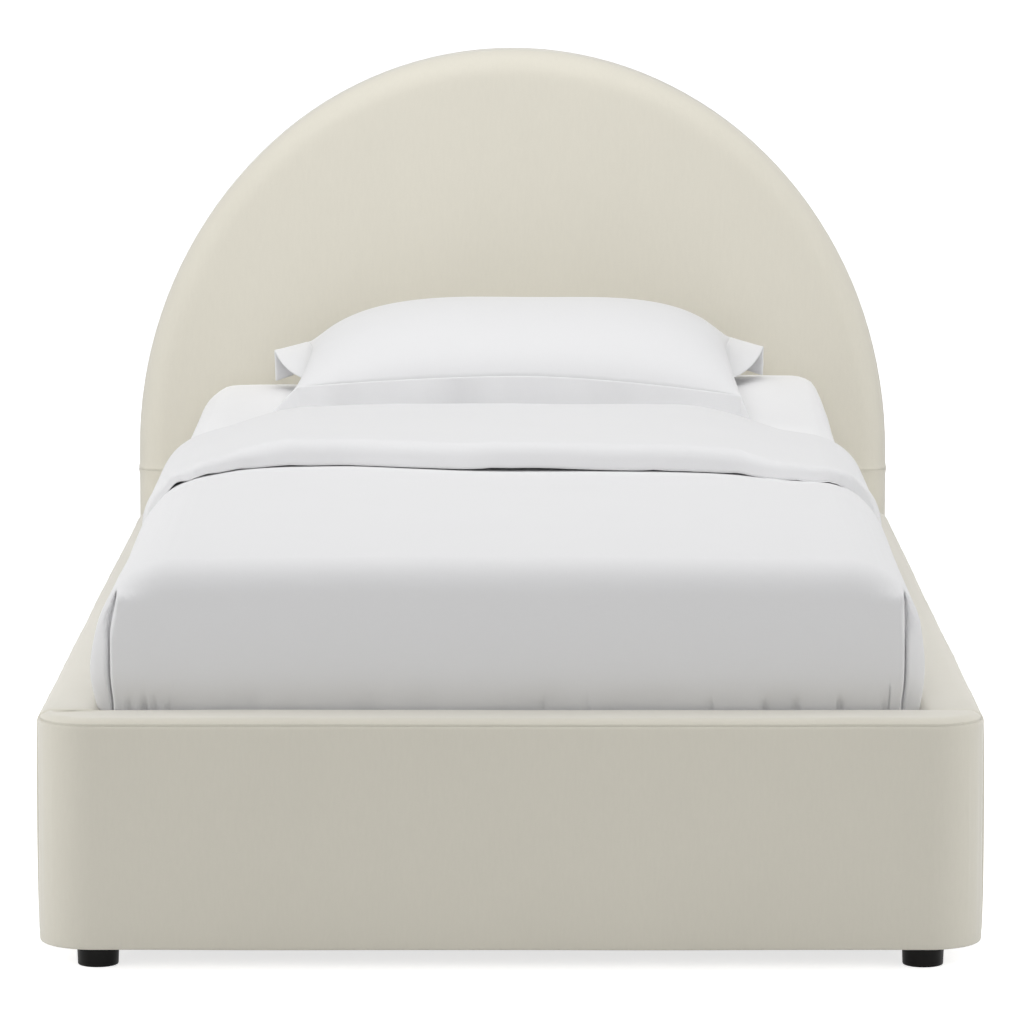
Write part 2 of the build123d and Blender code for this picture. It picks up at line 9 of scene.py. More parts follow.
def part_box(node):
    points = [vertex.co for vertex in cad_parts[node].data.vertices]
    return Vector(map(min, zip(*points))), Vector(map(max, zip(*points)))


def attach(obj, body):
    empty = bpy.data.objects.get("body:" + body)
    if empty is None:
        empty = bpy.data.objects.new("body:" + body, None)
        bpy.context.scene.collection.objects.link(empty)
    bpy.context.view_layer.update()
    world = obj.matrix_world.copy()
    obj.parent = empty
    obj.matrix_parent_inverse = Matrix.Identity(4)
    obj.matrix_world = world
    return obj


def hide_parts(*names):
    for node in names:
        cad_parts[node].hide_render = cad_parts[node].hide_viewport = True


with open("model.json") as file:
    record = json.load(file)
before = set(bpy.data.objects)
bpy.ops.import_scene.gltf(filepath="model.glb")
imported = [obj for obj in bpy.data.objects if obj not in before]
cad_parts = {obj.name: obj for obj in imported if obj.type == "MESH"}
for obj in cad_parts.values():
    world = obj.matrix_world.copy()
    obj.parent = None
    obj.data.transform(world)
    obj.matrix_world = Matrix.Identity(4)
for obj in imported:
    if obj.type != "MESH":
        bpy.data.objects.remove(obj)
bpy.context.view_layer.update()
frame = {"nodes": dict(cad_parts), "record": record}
print("frame loaded:", len(frame["nodes"]), "nodes")

mm = 0.001


def inMm(**sizes):
    # sizes given in millimetres, as metres
    return {name: tuple(part * mm for part in size) if isinstance(size, tuple) else size * mm
            for name, size in sizes.items()}


# the view of the photograph: a long lens, looking slightly down at the foot end
viewSettings = {
    "place": (0.012, -8.0895, 1.4582),
    "pitchDegrees": 7.229,
    "turnDegrees": 0.082,
    "lens": 206.72,
    "sensor": 36.0,
    "reach": 60,
}


def setCamera():
    data = bpy.data.cameras.new("bedCamera")
    data.lens = viewSettings["lens"]
    data.sensor_width = viewSettings["sensor"]
    data.clip_end = viewSettings["reach"]
    camera = bpy.data.objects.new("bedCamera", data)
    camera.location = viewSettings["place"]
    camera.rotation_euler = (math.radians(90 - viewSettings["pitchDegrees"]), 0,
                             math.radians(viewSettings["turnDegrees"]))
    bpy.context.scene.collection.objects.link(camera)
    bpy.context.scene.camera = camera


setCamera()


# studio: one wide softbox overhead, one at each side and one in front, a pale floor
studioSettings = {
    "top": {"place": (0, -0.15, 3.1), "aim": (0, 0.1, 0), "size": (2.6, 3.0), "watts": 46.5},
    "left": {"place": (-3.2, -0.6, 1.3), "aim": (0, 0.1, 0.35), "size": (2.4, 2.2), "watts": 39},
    "right": {"place": (3.2, -0.6, 1.3), "aim": (0, 0.1, 0.35), "size": (2.4, 2.2), "watts": 31},
    "front": {"place": (0, -5.0, 2.6), "aim": (0, 0, 0.5), "size": (3.0, 2.0), "watts": 46},
    "worldLevel": 0.29,
    "floorColor": (0.86, 0.86, 0.86, 1),
    "floorRoughness": 0.9,
    "floorGlow": (0.72, 1.0),       # near the bed and far from it
    "glowReach": (1.4, 4.5),
    "floorSize": 60,
}
white = (1, 1, 1, 1)


def softbox(name, place, aim, size, watts):
    data = bpy.data.lights.new(name, "AREA")
    data.shape = "RECTANGLE"
    data.size, data.size_y = size
    data.energy = watts
    lamp = bpy.data.objects.new(name, data)
    lamp.location = place
    lamp.rotation_euler = (Vector(aim) - Vector(place)).to_track_quat("-Z", "Y").to_euler()
    bpy.context.scene.collection.objects.link(lamp)


def mathNode(tree, operation, first, second):
    node = tree.nodes.new("ShaderNodeMath")
    node.operation = operation
    for place, value in enumerate((first, second)):
        if isinstance(value, (int, float)):
            node.inputs[place].default_value = value
        else:
            tree.links.new(value, node.inputs[place])
    return node.outputs[0]


def seenDirectly(tree):
    # 1 for the camera, for reflections and through glass
    path = tree.nodes.new("ShaderNodeLightPath").outputs
    either = mathNode(tree, "MAXIMUM", path["Is Camera Ray"], path["Is Glossy Ray"])
    return mathNode(tree, "MAXIMUM", either, path["Is Transmission Ray"])


def setWorld():
    # white where it is seen, and a plain level where it lights the bed
    world = bpy.data.worlds.new("paleStudio")
    bpy.context.scene.world = world
    world.use_nodes = True
    tree = world.node_tree
    tree.nodes.clear()
    mix = tree.nodes.new("ShaderNodeMixShader")
    out = tree.nodes.new("ShaderNodeOutputWorld")
    tree.links.new(seenDirectly(tree), mix.inputs[0])
    for place, level in ((1, studioSettings["worldLevel"]), (2, 1)):
        background = tree.nodes.new("ShaderNodeBackground")
        background.inputs["Color"].default_value = white
        background.inputs["Strength"].default_value = level
        tree.links.new(background.outputs[0], mix.inputs[place])
    tree.links.new(mix.outputs[0], out.inputs["Surface"])


def setFloor():
    bm = bmesh.new()
    bmesh.ops.create_grid(bm, x_segments=1, y_segments=1, size=studioSettings["floorSize"] / 2)
    mesh = bpy.data.meshes.new("studioFloor")
    bm.to_mesh(mesh)
    bm.free()
    floor = bpy.data.objects.new("studioFloor", mesh)
    bpy.context.scene.collection.objects.link(floor)
    material = bpy.data.materials.new("paleFloor")
    material.use_nodes = True
    tree = material.node_tree
    shader = tree.nodes["Principled BSDF"].inputs
    shader["Base Color"].default_value = studioSettings["floorColor"]
    shader["Roughness"].default_value = studioSettings["floorRoughness"]
    place = tree.nodes.new("ShaderNodeTexCoord")
    distance = tree.nodes.new("ShaderNodeVectorMath")
    distance.operation = "LENGTH"
    tree.links.new(place.outputs["Object"], distance.inputs[0])
    reach = tree.nodes.new("ShaderNodeMapRange")
    reach.inputs["From Min"].default_value, reach.inputs["From Max"].default_value = studioSettings["glowReach"]
    reach.inputs["To Min"].default_value, reach.inputs["To Max"].default_value = studioSettings["floorGlow"]
    tree.links.new(distance.outputs["Value"], reach.inputs["Value"])
    glow = mathNode(tree, "MULTIPLY", seenDirectly(tree), reach.outputs["Result"])
    shader["Emission Color"].default_value = white
    tree.links.new(glow, shader["Emission Strength"])
    mesh.materials.append(material)


bpy.context.scene.view_settings.view_transform = "Standard"
for name in ("top", "left", "right", "front"):
    softbox(name + "Softbox", **studioSettings[name])
setWorld()
setFloor()
print("studio set")


# finishes: each group puts out a colour, a height and a roughness

def nodeGroup(name, **inputs):
    group = bpy.data.node_groups.new(name, "ShaderNodeTree")
    addSocket = group.interface.new_socket
    addSocket(name="Vector", in_out="INPUT", socket_type="NodeSocketVector")
    for title, value in inputs.items():
        kind = "Float" if isinstance(value, (int, float)) else "Color"
        addSocket(name=title, in_out="INPUT", socket_type="NodeSocket" + kind).default_value = value
    for title, kind in (("Color", "Color"), ("Height", "Float"), ("Roughness", "Float")):
        addSocket(name=title, in_out="OUTPUT", socket_type="NodeSocket" + kind)
    return group, group.nodes.new("NodeGroupInput").outputs


def arithmetic(group):
    return [lambda first, second, kind=kind: mathNode(group, kind, first, second)
            for kind in ("ADD", "SUBTRACT", "MULTIPLY")]


def putOut(group, color, height, roughness):
    out = group.nodes.new("NodeGroupOutput").inputs
    for title, socket in (("Color", color), ("Height", height), ("Roughness", roughness)):
        group.links.new(socket, out[title])
    return group


def noiseNode(group, vector, scale, detail, roughness=0.55):
    node = group.nodes.new("ShaderNodeTexNoise")
    node.inputs["Detail"].default_value = detail
    node.inputs["Roughness"].default_value = roughness
    group.links.new(vector, node.inputs["Vector"])
    if isinstance(scale, (int, float)):
        node.inputs["Scale"].default_value = scale
    else:
        group.links.new(scale, node.inputs["Scale"])
    return node.outputs["Fac"]


def stretched(group, vector, factors):
    node = group.nodes.new("ShaderNodeMapping")
    node.inputs["Scale"].default_value = factors
    group.links.new(vector, node.inputs["Vector"])
    return node.outputs["Vector"]


def shadeNode(group, color, amount):
    # the colour made lighter or darker: amount 1 leaves it
    node = group.nodes.new("ShaderNodeHueSaturation")
    group.links.new(color, node.inputs["Color"])
    group.links.new(amount, node.inputs["Value"])
    return node.outputs["Color"]


weaveLook = {"threadLength": 0.08, "cloudScale": 7, "weaveShadeShare": 0.8, "roughness": (0.82, 0.1)}


def clothWeave():
    # threads both ways, with slubs and slow changes of tone; the colour follows the threads' height, painted shade in
    # the weave's hollows and painted highlight on its raised threads
    group, given = nodeGroup("clothWeave", Color=(0.8, 0.8, 0.8, 1), Threads=900, Variation=0.03)
    add, subtract, multiply = arithmetic(group)
    vector, along = given["Vector"], weaveLook["threadLength"]
    warp = noiseNode(group, stretched(group, vector, (1, along, along)), given["Threads"], 1)
    weft = noiseNode(group, stretched(group, vector, (along, 1, 1)), given["Threads"], 1)
    height = add(warp, weft)
    cloud = noiseNode(group, vector, weaveLook["cloudScale"], 3)
    drift = multiply(subtract(cloud, 0.5), given["Variation"])
    # painted shade and highlight: darker where the weave lies low, lighter where it stands high
    weaveShade = multiply(subtract(height, 1.0), multiply(given["Variation"], weaveLook["weaveShadeShare"]))
    shade = shadeNode(group, given["Color"], add(add(drift, weaveShade), 1.0))
    smoothest, change = weaveLook["roughness"]
    return putOut(group, shade, height, add(multiply(cloud, change), smoothest))


pileLook = {"brushScale": 5.5, "brushLength": 0.55, "patchScale": 1.7, "fibreScale": 700, "strandScale": 260,
            "strandLength": 0.2, "roughness": (0.76, 0.16)}


def velvetPile():
    # short pile that leans in patches: slow light and dark clouds painted into the colour as the sheen of the leaning
    # pile, and fine fibre tone that follows the relief, painted shade where the pile lies low
    group, given = nodeGroup("velvetPile", Color=(0.6, 0.6, 0.6, 1), Clouds=0.05, Fibres=0.04)
    add, subtract, multiply = arithmetic(group)
    vector = given["Vector"]
    brushed = noiseNode(group, stretched(group, vector, (1, 1, pileLook["brushLength"])), pileLook["brushScale"],
                        5, 0.6)
    paintedSheenPatch = noiseNode(group, vector, pileLook["patchScale"], 2)
    fibre = noiseNode(group, vector, pileLook["fibreScale"], 2)
    strands = noiseNode(group, stretched(group, vector, (1, 1, pileLook["strandLength"])),
                        pileLook["strandScale"], 2)
    # painted sheen: slow light and dark clouds where the pile leans
    drift = multiply(subtract(add(brushed, paintedSheenPatch), 1.0), given["Clouds"])
    # painted shade: darker where the fibres' relief is low, lighter where it is high
    fine = multiply(subtract(add(fibre, strands), 1.0), given["Fibres"])
    shade = shadeNode(group, given["Color"], add(add(drift, fine), 1.0))
    smoothest, change = pileLook["roughness"]
    return putOut(group, shade, add(fibre, strands), add(multiply(brushed, change), smoothest))


grainLook = {"ringWander": 5, "wanderScale": 1.2, "bendScale": 3, "poreScale": 8, "poreStretch": (4, 90, 90),
             "ringShare": 0.55, "poreShare": 0.35, "bendShare": 0.2, "roughness": (0.5, 0.2)}


def woodGrain():
    # long grain along one axis with growth rings and pores
    group, given = nodeGroup("woodGrain", Light=(0.7, 0.5, 0.3, 1), Dark=(0.5, 0.33, 0.18, 1), Rings=14)
    add, _, multiply = arithmetic(group)
    bend = noiseNode(group, given["Vector"], grainLook["bendScale"], 3)
    wave = group.nodes.new("ShaderNodeTexWave")
    wave.wave_type = "BANDS"
    wave.bands_direction = "Y"
    wave.inputs["Distortion"].default_value = grainLook["ringWander"]
    wave.inputs["Detail"].default_value = 3
    wave.inputs["Detail Scale"].default_value = grainLook["wanderScale"]
    group.links.new(given["Vector"], wave.inputs["Vector"])
    group.links.new(given["Rings"], wave.inputs["Scale"])
    pores = noiseNode(group, stretched(group, given["Vector"], grainLook["poreStretch"]), grainLook["poreScale"], 3)
    tone = add(multiply(wave.outputs["Fac"], grainLook["ringShare"]),
               add(multiply(pores, grainLook["poreShare"]), multiply(bend, grainLook["bendShare"])))
    mix = group.nodes.new("ShaderNodeMix")
    mix.data_type = "RGBA"
    for socket, place in ((tone, "Factor"), (given["Light"], "A"), (given["Dark"], "B")):
        group.links.new(socket, mix.inputs[place])
    smoothest, change = grainLook["roughness"]
    return putOut(group, mix.outputs["Result"], tone, add(multiply(pores, change), smoothest))


speckleLook = {"cloudScale": 25, "roughnessChange": 0.15}


def speckle():
    # fine mottling for plastic, paint and plated steel
    group, given = nodeGroup("speckle", Color=(0.1, 0.1, 0.1, 1), Grain=300, Variation=0.15, Level=0.4)
    add, subtract, multiply = arithmetic(group)
    fine = noiseNode(group, given["Vector"], given["Grain"], 3)
    slow = noiseNode(group, given["Vector"], speckleLook["cloudScale"], 3)
    drift = multiply(subtract(slow, 0.5), given["Variation"])
    shade = shadeNode(group, given["Color"], add(drift, 1.0))
    return putOut(group, shade, fine, add(given["Level"], multiply(slow, speckleLook["roughnessChange"])))


groups = {"cloth": clothWeave(), "velvet": velvetPile(), "wood": woodGrain(), "speckle": speckle()}


def linearColor(red, green, blue):
    # eight-bit screen colour to linear
    values = [value / 255 for value in (red, green, blue)]
    return (*[v / 12.92 if v <= 0.04045 else ((v + 0.055) / 1.055) ** 2.4 for v in values], 1)


def finish(name, group, values, bump, depth, gloss, sockets=(), turn=0):
    # a Principled material fed by one of the groups
    material = bpy.data.materials.new(name)
    material.use_nodes = True
    nodes, links = material.node_tree.nodes, material.node_tree.links
    shader = nodes["Principled BSDF"]
    place = nodes.new("ShaderNodeTexCoord")
    mapping = nodes.new("ShaderNodeMapping")
    mapping.inputs["Rotation"].default_value = (0, 0, turn)
    links.new(place.outputs["Object"], mapping.inputs["Vector"])
    pattern = nodes.new("ShaderNodeGroup")
    pattern.node_tree = groups[group]
    links.new(mapping.outputs["Vector"], pattern.inputs["Vector"])
    for title, value in values.items():
        pattern.inputs[title].default_value = linearColor(*value) if isinstance(value, tuple) else value
    links.new(pattern.outputs["Color"], shader.inputs["Base Color"])
    links.new(pattern.outputs["Roughness"], shader.inputs["Roughness"])
    relief = nodes.new("ShaderNodeBump")
    relief.inputs["Strength"].default_value = bump
    relief.inputs["Distance"].default_value = depth * mm
    links.new(pattern.outputs["Height"], relief.inputs["Height"])
    links.new(relief.outputs["Normal"], shader.inputs["Normal"])
    shader.inputs["Specular IOR Level"].default_value = gloss
    for title, value in dict(sockets).items():
        shader.inputs[title].default_value = value
    return material


quarter = math.pi / 2

# each finish has its group with its values, the strength of its relief and its depth in mm, and its gloss
finishTable = {
    "velvet": ("velvet", {"Color": (220, 216, 203)}, 0.12, 0.6, 0.2, {"Sheen Weight": 0.6, "Sheen Roughness": 0.45}),
    "cotton": ("cloth", {"Color": (229, 229, 230), "Variation": 0.02}, 0.10, 0.3, 0.25,
               {"Sheen Weight": 0.08, "Sheen Roughness": 0.5}),
    "linen": ("cloth", {"Color": (240, 240, 241), "Variation": 0.02}, 0.10, 0.3, 0.25,
              {"Sheen Weight": 0.08, "Sheen Roughness": 0.5}),
    "ticking": ("cloth", {"Color": (230, 230, 228), "Threads": 500}, 0.25, 0.5, 0.2),
    "foam": ("speckle", {"Color": (232, 222, 180), "Grain": 260, "Level": 0.8}, 0.3, 0.8, 0.15),
    "dustCloth": ("cloth", {"Color": (34, 34, 35), "Threads": 350, "Variation": 0.25}, 0.35, 0.4, 0.3),
    "webbing": ("cloth", {"Color": (30, 30, 32), "Threads": 260, "Variation": 0.3}, 0.5, 0.6, 0.3),
    "pine": ("wood", {"Light": (226, 193, 144), "Dark": (190, 146, 96), "Rings": 26}, 0.15, 0.4, 0.3, {}, quarter),
    "slatWood": ("wood", {"Light": (232, 205, 160), "Dark": (204, 166, 116), "Rings": 18}, 0.12, 0.3, 0.35),
    "plywood": ("wood", {"Light": (214, 180, 130), "Dark": (178, 138, 92), "Rings": 40}, 0.15, 0.3, 0.3),
    "blackSteel": ("speckle", {"Color": (28, 28, 29), "Grain": 900, "Level": 0.42}, 0.2, 0.2, 0.5),
    "zincSteel": ("speckle", {"Color": (186, 188, 186), "Grain": 500, "Level": 0.3}, 0.15, 0.2, 0.5,
                  {"Metallic": 1.0}),
    "footPlastic": ("speckle", {"Color": (13, 12, 11), "Grain": 700, "Level": 0.36}, 0.15, 0.2, 0.12),
}
materials = {name: finish(name, *row) for name, row in finishTable.items()}

# the finish of a slot, where it has another name
slotFinish = {
    "dust_cloth": "dustCloth", "softwood": "pine", "slat_wood": "slatWood", "black_steel": "blackSteel",
    "zinc_steel": "zincSteel", "foot_plastic": "footPlastic", "glide_plastic": "footPlastic",
    "white_cotton": "cotton",
}


def dressNodes():
    # every CAD node gets the finish of its slot
    for row in frame["record"]["subparts"]:
        node = frame["nodes"][row["node"]]
        slot = row["material_slot"]
        wanted = materials[slotFinish.get(slot, slot)]
        if not node.material_slots:
            node.data.materials.append(wanted)
        for holder in node.material_slots:
            holder.material = wanted


dressNodes()
print("finishes made")


# mesh helpers

tiny = 0.01 * mm


def cubeMesh(low, high):
    bm = bmesh.new()
    bmesh.ops.create_cube(bm, size=1)
    size = Vector(high) - Vector(low)
    bmesh.ops.scale(bm, vec=size, verts=bm.verts)
    bmesh.ops.translate(bm, vec=(Vector(high) + Vector(low)) / 2, verts=bm.verts)
    return bm


def roundEdges(bm, edges, radius, segments):
    bmesh.ops.bevel(bm, geom=edges, offset=radius, offset_type="OFFSET", segments=segments, profile=0.5,
                    affect="EDGES", material=-1, clamp_overlap=True)


def cutPlane(bm, place, direction, dist, **options):
    return bmesh.ops.bisect_plane(bm, geom=bm.verts[:] + bm.edges[:] + bm.faces[:], dist=dist, plane_co=place,
                                  plane_no=direction, **options)["geom_cut"]


def sliceAt(bm, axis, places):
    # cuts square to an axis, to give a long face its rows of points
    direction = Vector([float(axis == index) for index in range(3)])
    for place in places:
        cutPlane(bm, direction * place, direction, 1e-5)


def evenly(low, high, step):
    count = max(1, round((high - low) / step))
    return [low + (high - low) * (index + 1) / (count + 1) for index in range(count)]


def edgesAt(bm, along=None, above=None, before=None, **levels):
    # edges that run along an axis, whose middle lies at the given x, y or z, and above or before a place
    found = []
    for edge in bm.edges:
        first, second = (vert.co for vert in edge.verts)
        middle, way = (first + second) / 2, (second - first).normalized()
        if all(abs(getattr(middle, axis) - level) < tiny for axis, level in levels.items()) \
                and (along is None or abs(getattr(way, along)) > 0.9) \
                and (above is None or middle.z > above) and (before is None or middle.y < before):
            found.append(edge)
    return found


def facing(bm, away, least=0.5):
    # faces that look the given way
    return [face for face in bm.faces if face.normal.dot(Vector(away)) > least]


def makePiece(name, bm, material, body, replaced=()):
    bmesh.ops.recalc_face_normals(bm, faces=bm.faces)
    if not any(edge.is_boundary for edge in bm.edges) and bm.calc_volume(signed=True) < 0:
        bmesh.ops.reverse_faces(bm, faces=bm.faces)
    mesh = bpy.data.meshes.new(name)
    bm.to_mesh(mesh)
    bm.free()
    for polygon in mesh.polygons:
        polygon.use_smooth = True
    mesh.materials.append(materials[material])
    piece = bpy.data.objects.new(name, mesh)
    bpy.context.scene.collection.objects.link(piece)
    return settlePiece(piece, body, replaced)


def settlePiece(piece, body, replaced):
    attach(piece, body)
    if replaced:
        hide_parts(*replaced)
    return piece


def thicken(piece, thickness, offset, shares=()):
    # a wall that may change in thickness from point to point
    wall = piece.modifiers.new("thickness", "SOLIDIFY")
    wall.thickness = thickness
    wall.offset = offset
    if shares:
        group = piece.vertex_groups.new(name="fullness")
        for index, share in enumerate(shares):
            group.add([index], share, "REPLACE")
        wall.vertex_group = "fullness"


def bakeModifiers(piece):
    # the modifiers' result becomes the piece's own mesh
    graph = bpy.context.evaluated_depsgraph_get()
    graph.update()
    shaped = bpy.data.meshes.new_from_object(piece.evaluated_get(graph))
    piece.modifiers.clear()
    piece.vertex_groups.clear()
    old = piece.data
    piece.data = shaped
    bpy.data.meshes.remove(old)


def bumpiness(place, scale, seed):
    # smooth noise from -1 to 1
    return noise.noise(Vector(place) * scale + Vector((seed, seed * 0.7, -seed)))


def bell(value, width):
    return math.exp(-(value / width) ** 2)


def ramp(value, low, high):
    share = min(1, max(0, (value - low) / (high - low)))
    return share * share * (3 - 2 * share)


def between(ends, share):
    return ends[0] + (ends[1] - ends[0]) * share


def waves(place, table):
    # smooth unevenness from each wave's scale, seed and height in mm
    return sum(height * mm * bumpiness(place, scale, seed) for scale, seed, height in table)


def swellCloth(piece, held, style):
    # the cloth is blown up a little with some points held, then the move is capped
    before = [vert.co.copy() for vert in piece.data.vertices]
    group = piece.vertex_groups.new(name="held")
    group.add(held, 1.0, "REPLACE")
    cloth = piece.modifiers.new("cloth", "CLOTH")
    settings = cloth.settings
    settings.quality = style["quality"]
    settings.mass = style["mass"]
    settings.tension_stiffness = style["stiffness"]
    settings.compression_stiffness = style["stiffness"]
    settings.bending_stiffness = style["bending"]
    settings.use_pressure = True
    settings.uniform_pressure_force = style["pressure"]
    settings.effector_weights.gravity = 0
    settings.vertex_group_mass = "held"
    cloth.point_cache.frame_start = 1
    cloth.point_cache.frame_end = style["frames"]
    for frameNumber in range(1, style["frames"] + 1):
        bpy.context.scene.frame_set(frameNumber)
    bakeModifiers(piece)
    bpy.context.scene.frame_set(1)
    for vert, start in zip(piece.data.vertices, before):
        move = vert.co - start
        if move.length > style["cap"]:
            vert.co = start + move.normalized() * style["cap"]


# padded panels: headboard, side rails, footboard

panelStyle = {
    **inMm(row=22, endRound=5, topBand=25,
           seamRows=(-9, -4, -1.6, 0, 1.6, 4, 9),       # rows of points beside a sewn seam
           seamLine=0.32, seamDepth=2.2, seamPuff=1.4, puffWidth=6, puckerDepth=0.5, puckerWidth=9,
           softness=0.9),                               # slow unevenness of the stuffing
    "puckerScale": 55,
    "softScale": 4.5,
}


def softenPanel(bm, seamHeight, onSeam, crown, seed):
    # seam valley with small puckers, a slight crown and slow unevenness
    bm.normal_update()
    moves = []
    for vert in bm.verts:
        normal = vert.normal.copy()
        away = vert.co.z - seamHeight
        shift = panelStyle["softness"] * bumpiness(vert.co, panelStyle["softScale"], seed)
        shift += crown(vert.co, normal)
        if onSeam(vert.co):
            shift += panelStyle["seamPuff"] * bell(away, panelStyle["puffWidth"])
            if abs(away) < panelStyle["seamLine"]:
                shift -= panelStyle["seamDepth"]
            pucker = bumpiness(vert.co, panelStyle["puckerScale"], seed + 3)
            shift += panelStyle["puckerDepth"] * pucker * bell(away, panelStyle["puckerWidth"])
        moves.append((vert, normal * shift))
    for vert, move in moves:
        vert.co += move


def seamRows(seamHeight):
    return [seamHeight + step for step in panelStyle["seamRows"]]


def crowned(base, top, amount, away):
    # fullest half way up, on the faces that look away from the bed
    def crown(place, normal):
        upright = 1 - abs(2 * (place.z - base) / (top - base) - 1) ** 3
        return amount * upright * max(0, normal.dot(Vector(away)))
    return crown


headboardShape = {
    **inMm(rise=622.5, seam=375.5, frontRound=40, backRound=6, clothGap=0.3, clothSink=1.5, crown=3, seamStop=4),
    "circlePoints": 144,
}


def headboardUpholstery():
    low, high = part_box("headboard_upper_cover")
    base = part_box("headboard_lower_cover")[0].z
    half = (high.x - low.x) / 2
    spring = high.z - headboardShape["rise"]
    bm = bmesh.new()
    # an ellipse cut at its middle, with straight sides drawn down from it
    bmesh.ops.create_circle(bm, cap_ends=True, segments=headboardShape["circlePoints"], radius=1)
    bmesh.ops.scale(bm, vec=(half, headboardShape["rise"], 1), verts=bm.verts)
    cutPlane(bm, (0, 0, 0), (0, 1, 0), 1e-6, clear_inner=True)
    drawn = bmesh.ops.extrude_edge_only(bm, edges=edgesAt(bm, y=0))["geom"]
    bmesh.ops.translate(bm, vec=(0, base - spring, 0), verts=[item for item in drawn if hasattr(item, "co")])
    bmesh.ops.dissolve_limit(bm, angle_limit=0.001, verts=bm.verts, edges=bm.edges)
    bmesh.ops.rotate(bm, cent=(0, 0, 0), matrix=Matrix.Rotation(quarter, 3, "X"), verts=bm.verts)
    bmesh.ops.translate(bm, vec=(0, high.y, spring), verts=bm.verts)
    raised = bmesh.ops.extrude_face_region(bm, geom=bm.faces[:])["geom"]
    bmesh.ops.translate(bm, vec=(0, low.y - high.y, 0), verts=[item for item in raised if hasattr(item, "co")])
    bmesh.ops.recalc_face_normals(bm, faces=bm.faces)
    roundEdges(bm, edgesAt(bm, y=low.y, above=base + 0.1 * mm), headboardShape["frontRound"], 9)
    roundEdges(bm, edgesAt(bm, y=high.y, above=base + 0.1 * mm), headboardShape["backRound"], 3)
    # behind, the cover turns in and leaves the dust cloth to show
    behind = [face for face in facing(bm, (0, 1, 0), 0.999) if face.calc_center_median().y > high.y - tiny]
    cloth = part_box("headboard_back_cloth")[0]
    turnIn = cloth.x - low.x - headboardShape["clothGap"]
    bmesh.ops.inset_region(bm, faces=behind, thickness=turnIn - headboardShape["backRound"], use_even_offset=True)
    for vert in {vert for face in behind for vert in face.verts}:
        vert.co.z = max(vert.co.z, base + turnIn)
    bmesh.ops.inset_region(bm, faces=behind, thickness=headboardShape["clothGap"], use_even_offset=True)
    for vert in {vert for face in behind for vert in face.verts}:
        vert.co.y = cloth.y - headboardShape["clothSink"]
    sliceAt(bm, 2, evenly(base, high.z, panelStyle["row"]) + seamRows(headboardShape["seam"]))
    sliceAt(bm, 0, evenly(-half, half, panelStyle["row"]))

    def crown(place, normal):
        if normal.y > -0.5:
            return 0
        across = 1 - min(1, (place.x / half) ** 2 + ((place.z - spring) / headboardShape["rise"]) ** 2)
        return headboardShape["crown"] * across

    softenPanel(bm, headboardShape["seam"], lambda place: place.y < high.y - headboardShape["seamStop"], crown, 2)
    piece = makePiece("headboard_upholstery", bm, "velvet", "frame",
                      ["headboard_upper_cover", "headboard_lower_cover"])


railShape = inMm(topOuter=18, topInner=15, base=12, baseInner=4, seamDrop=8.5, crown=2)


def railUpholstery(side):
    low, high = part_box("side_rail_face_cover_" + side)
    topLow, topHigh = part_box("side_rail_top_cover_" + side)
    sign = 1 if side == "right" else -1
    lowX, highX = min(low.x, topLow.x), max(high.x, topHigh.x)
    outer, inner = (highX, lowX) if sign > 0 else (lowX, highX)
    base, top = min(low.z, topLow.z), max(high.z, topHigh.z)
    seam = top - railShape["seamDrop"]
    bm = cubeMesh((lowX, low.y, base), (highX, high.y, top))
    for edgeX, edgeZ, radius in ((outer, top, "topOuter"), (inner, top, "topInner"), (outer, base, "base"),
                                 (inner, base, "baseInner")):
        roundEdges(bm, edgesAt(bm, "y", x=edgeX, z=edgeZ), railShape[radius], 7)
    for end in (low.y, high.y):
        roundEdges(bm, edgesAt(bm, y=end), panelStyle["endRound"], 3)
    sliceAt(bm, 1, evenly(low.y, high.y, panelStyle["row"]))
    sliceAt(bm, 2, evenly(base, top - panelStyle["topBand"], panelStyle["row"]) + seamRows(seam))
    sliceAt(bm, 0, evenly(lowX, highX, panelStyle["row"]))
    middleX = (lowX + highX) / 2
    softenPanel(bm, seam, lambda place: (place.x - middleX) * sign > 0,
                crowned(base, top, railShape["crown"], (sign, 0, 0)), 5 + sign)
    piece = makePiece("side_rail_upholstery_" + side, bm, "velvet", "frame",
                      ["side_rail_face_cover_" + side, "side_rail_top_cover_" + side])


footboardShape = {**inMm(corner=72, base=4, crown=2.5, seamStop=2, cornersFrom=500), "cornerPoints": 16}


def footboardUpholstery():
    low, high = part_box("footboard_face_cover")
    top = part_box("footboard_top_cover")[1].z
    seam = top - railShape["seamDrop"]
    bm = cubeMesh((-high.x, low.y, low.z), (high.x, high.y, top))
    roundEdges(bm, edgesAt(bm, "z", y=low.y), footboardShape["corner"], footboardShape["cornerPoints"])
    outside = high.y - 0.1 * mm
    roundEdges(bm, edgesAt(bm, z=top, before=outside), railShape["topOuter"], 7)
    roundEdges(bm, edgesAt(bm, z=top, y=high.y), railShape["topInner"], 7)
    roundEdges(bm, edgesAt(bm, z=low.z, before=outside), footboardShape["base"], 5)
    sliceAt(bm, 0, evenly(-high.x, high.x, panelStyle["row"]))
    sliceAt(bm, 2, evenly(low.z, top - panelStyle["topBand"], panelStyle["row"]) + seamRows(seam))
    sliceAt(bm, 1, evenly(low.y, high.y, panelStyle["row"]))
    middleY = (low.y + high.y) / 2
    softenPanel(bm, seam, lambda place: place.y < high.y - footboardShape["seamStop"]
                and (place.y < middleY or abs(place.x) > footboardShape["cornersFrom"]),
                crowned(low.z, top, footboardShape["crown"], (0, -1, 0)), 9)
    piece = makePiece("footboard_upholstery", bm, "velvet", "frame",
                      ["footboard_face_cover", "footboard_top_cover"])


headboardUpholstery()
for side in ("right", "left"):
    railUpholstery(side)
footboardUpholstery()
print("padded panels made")


# bedding: everything leans a little down towards the foot

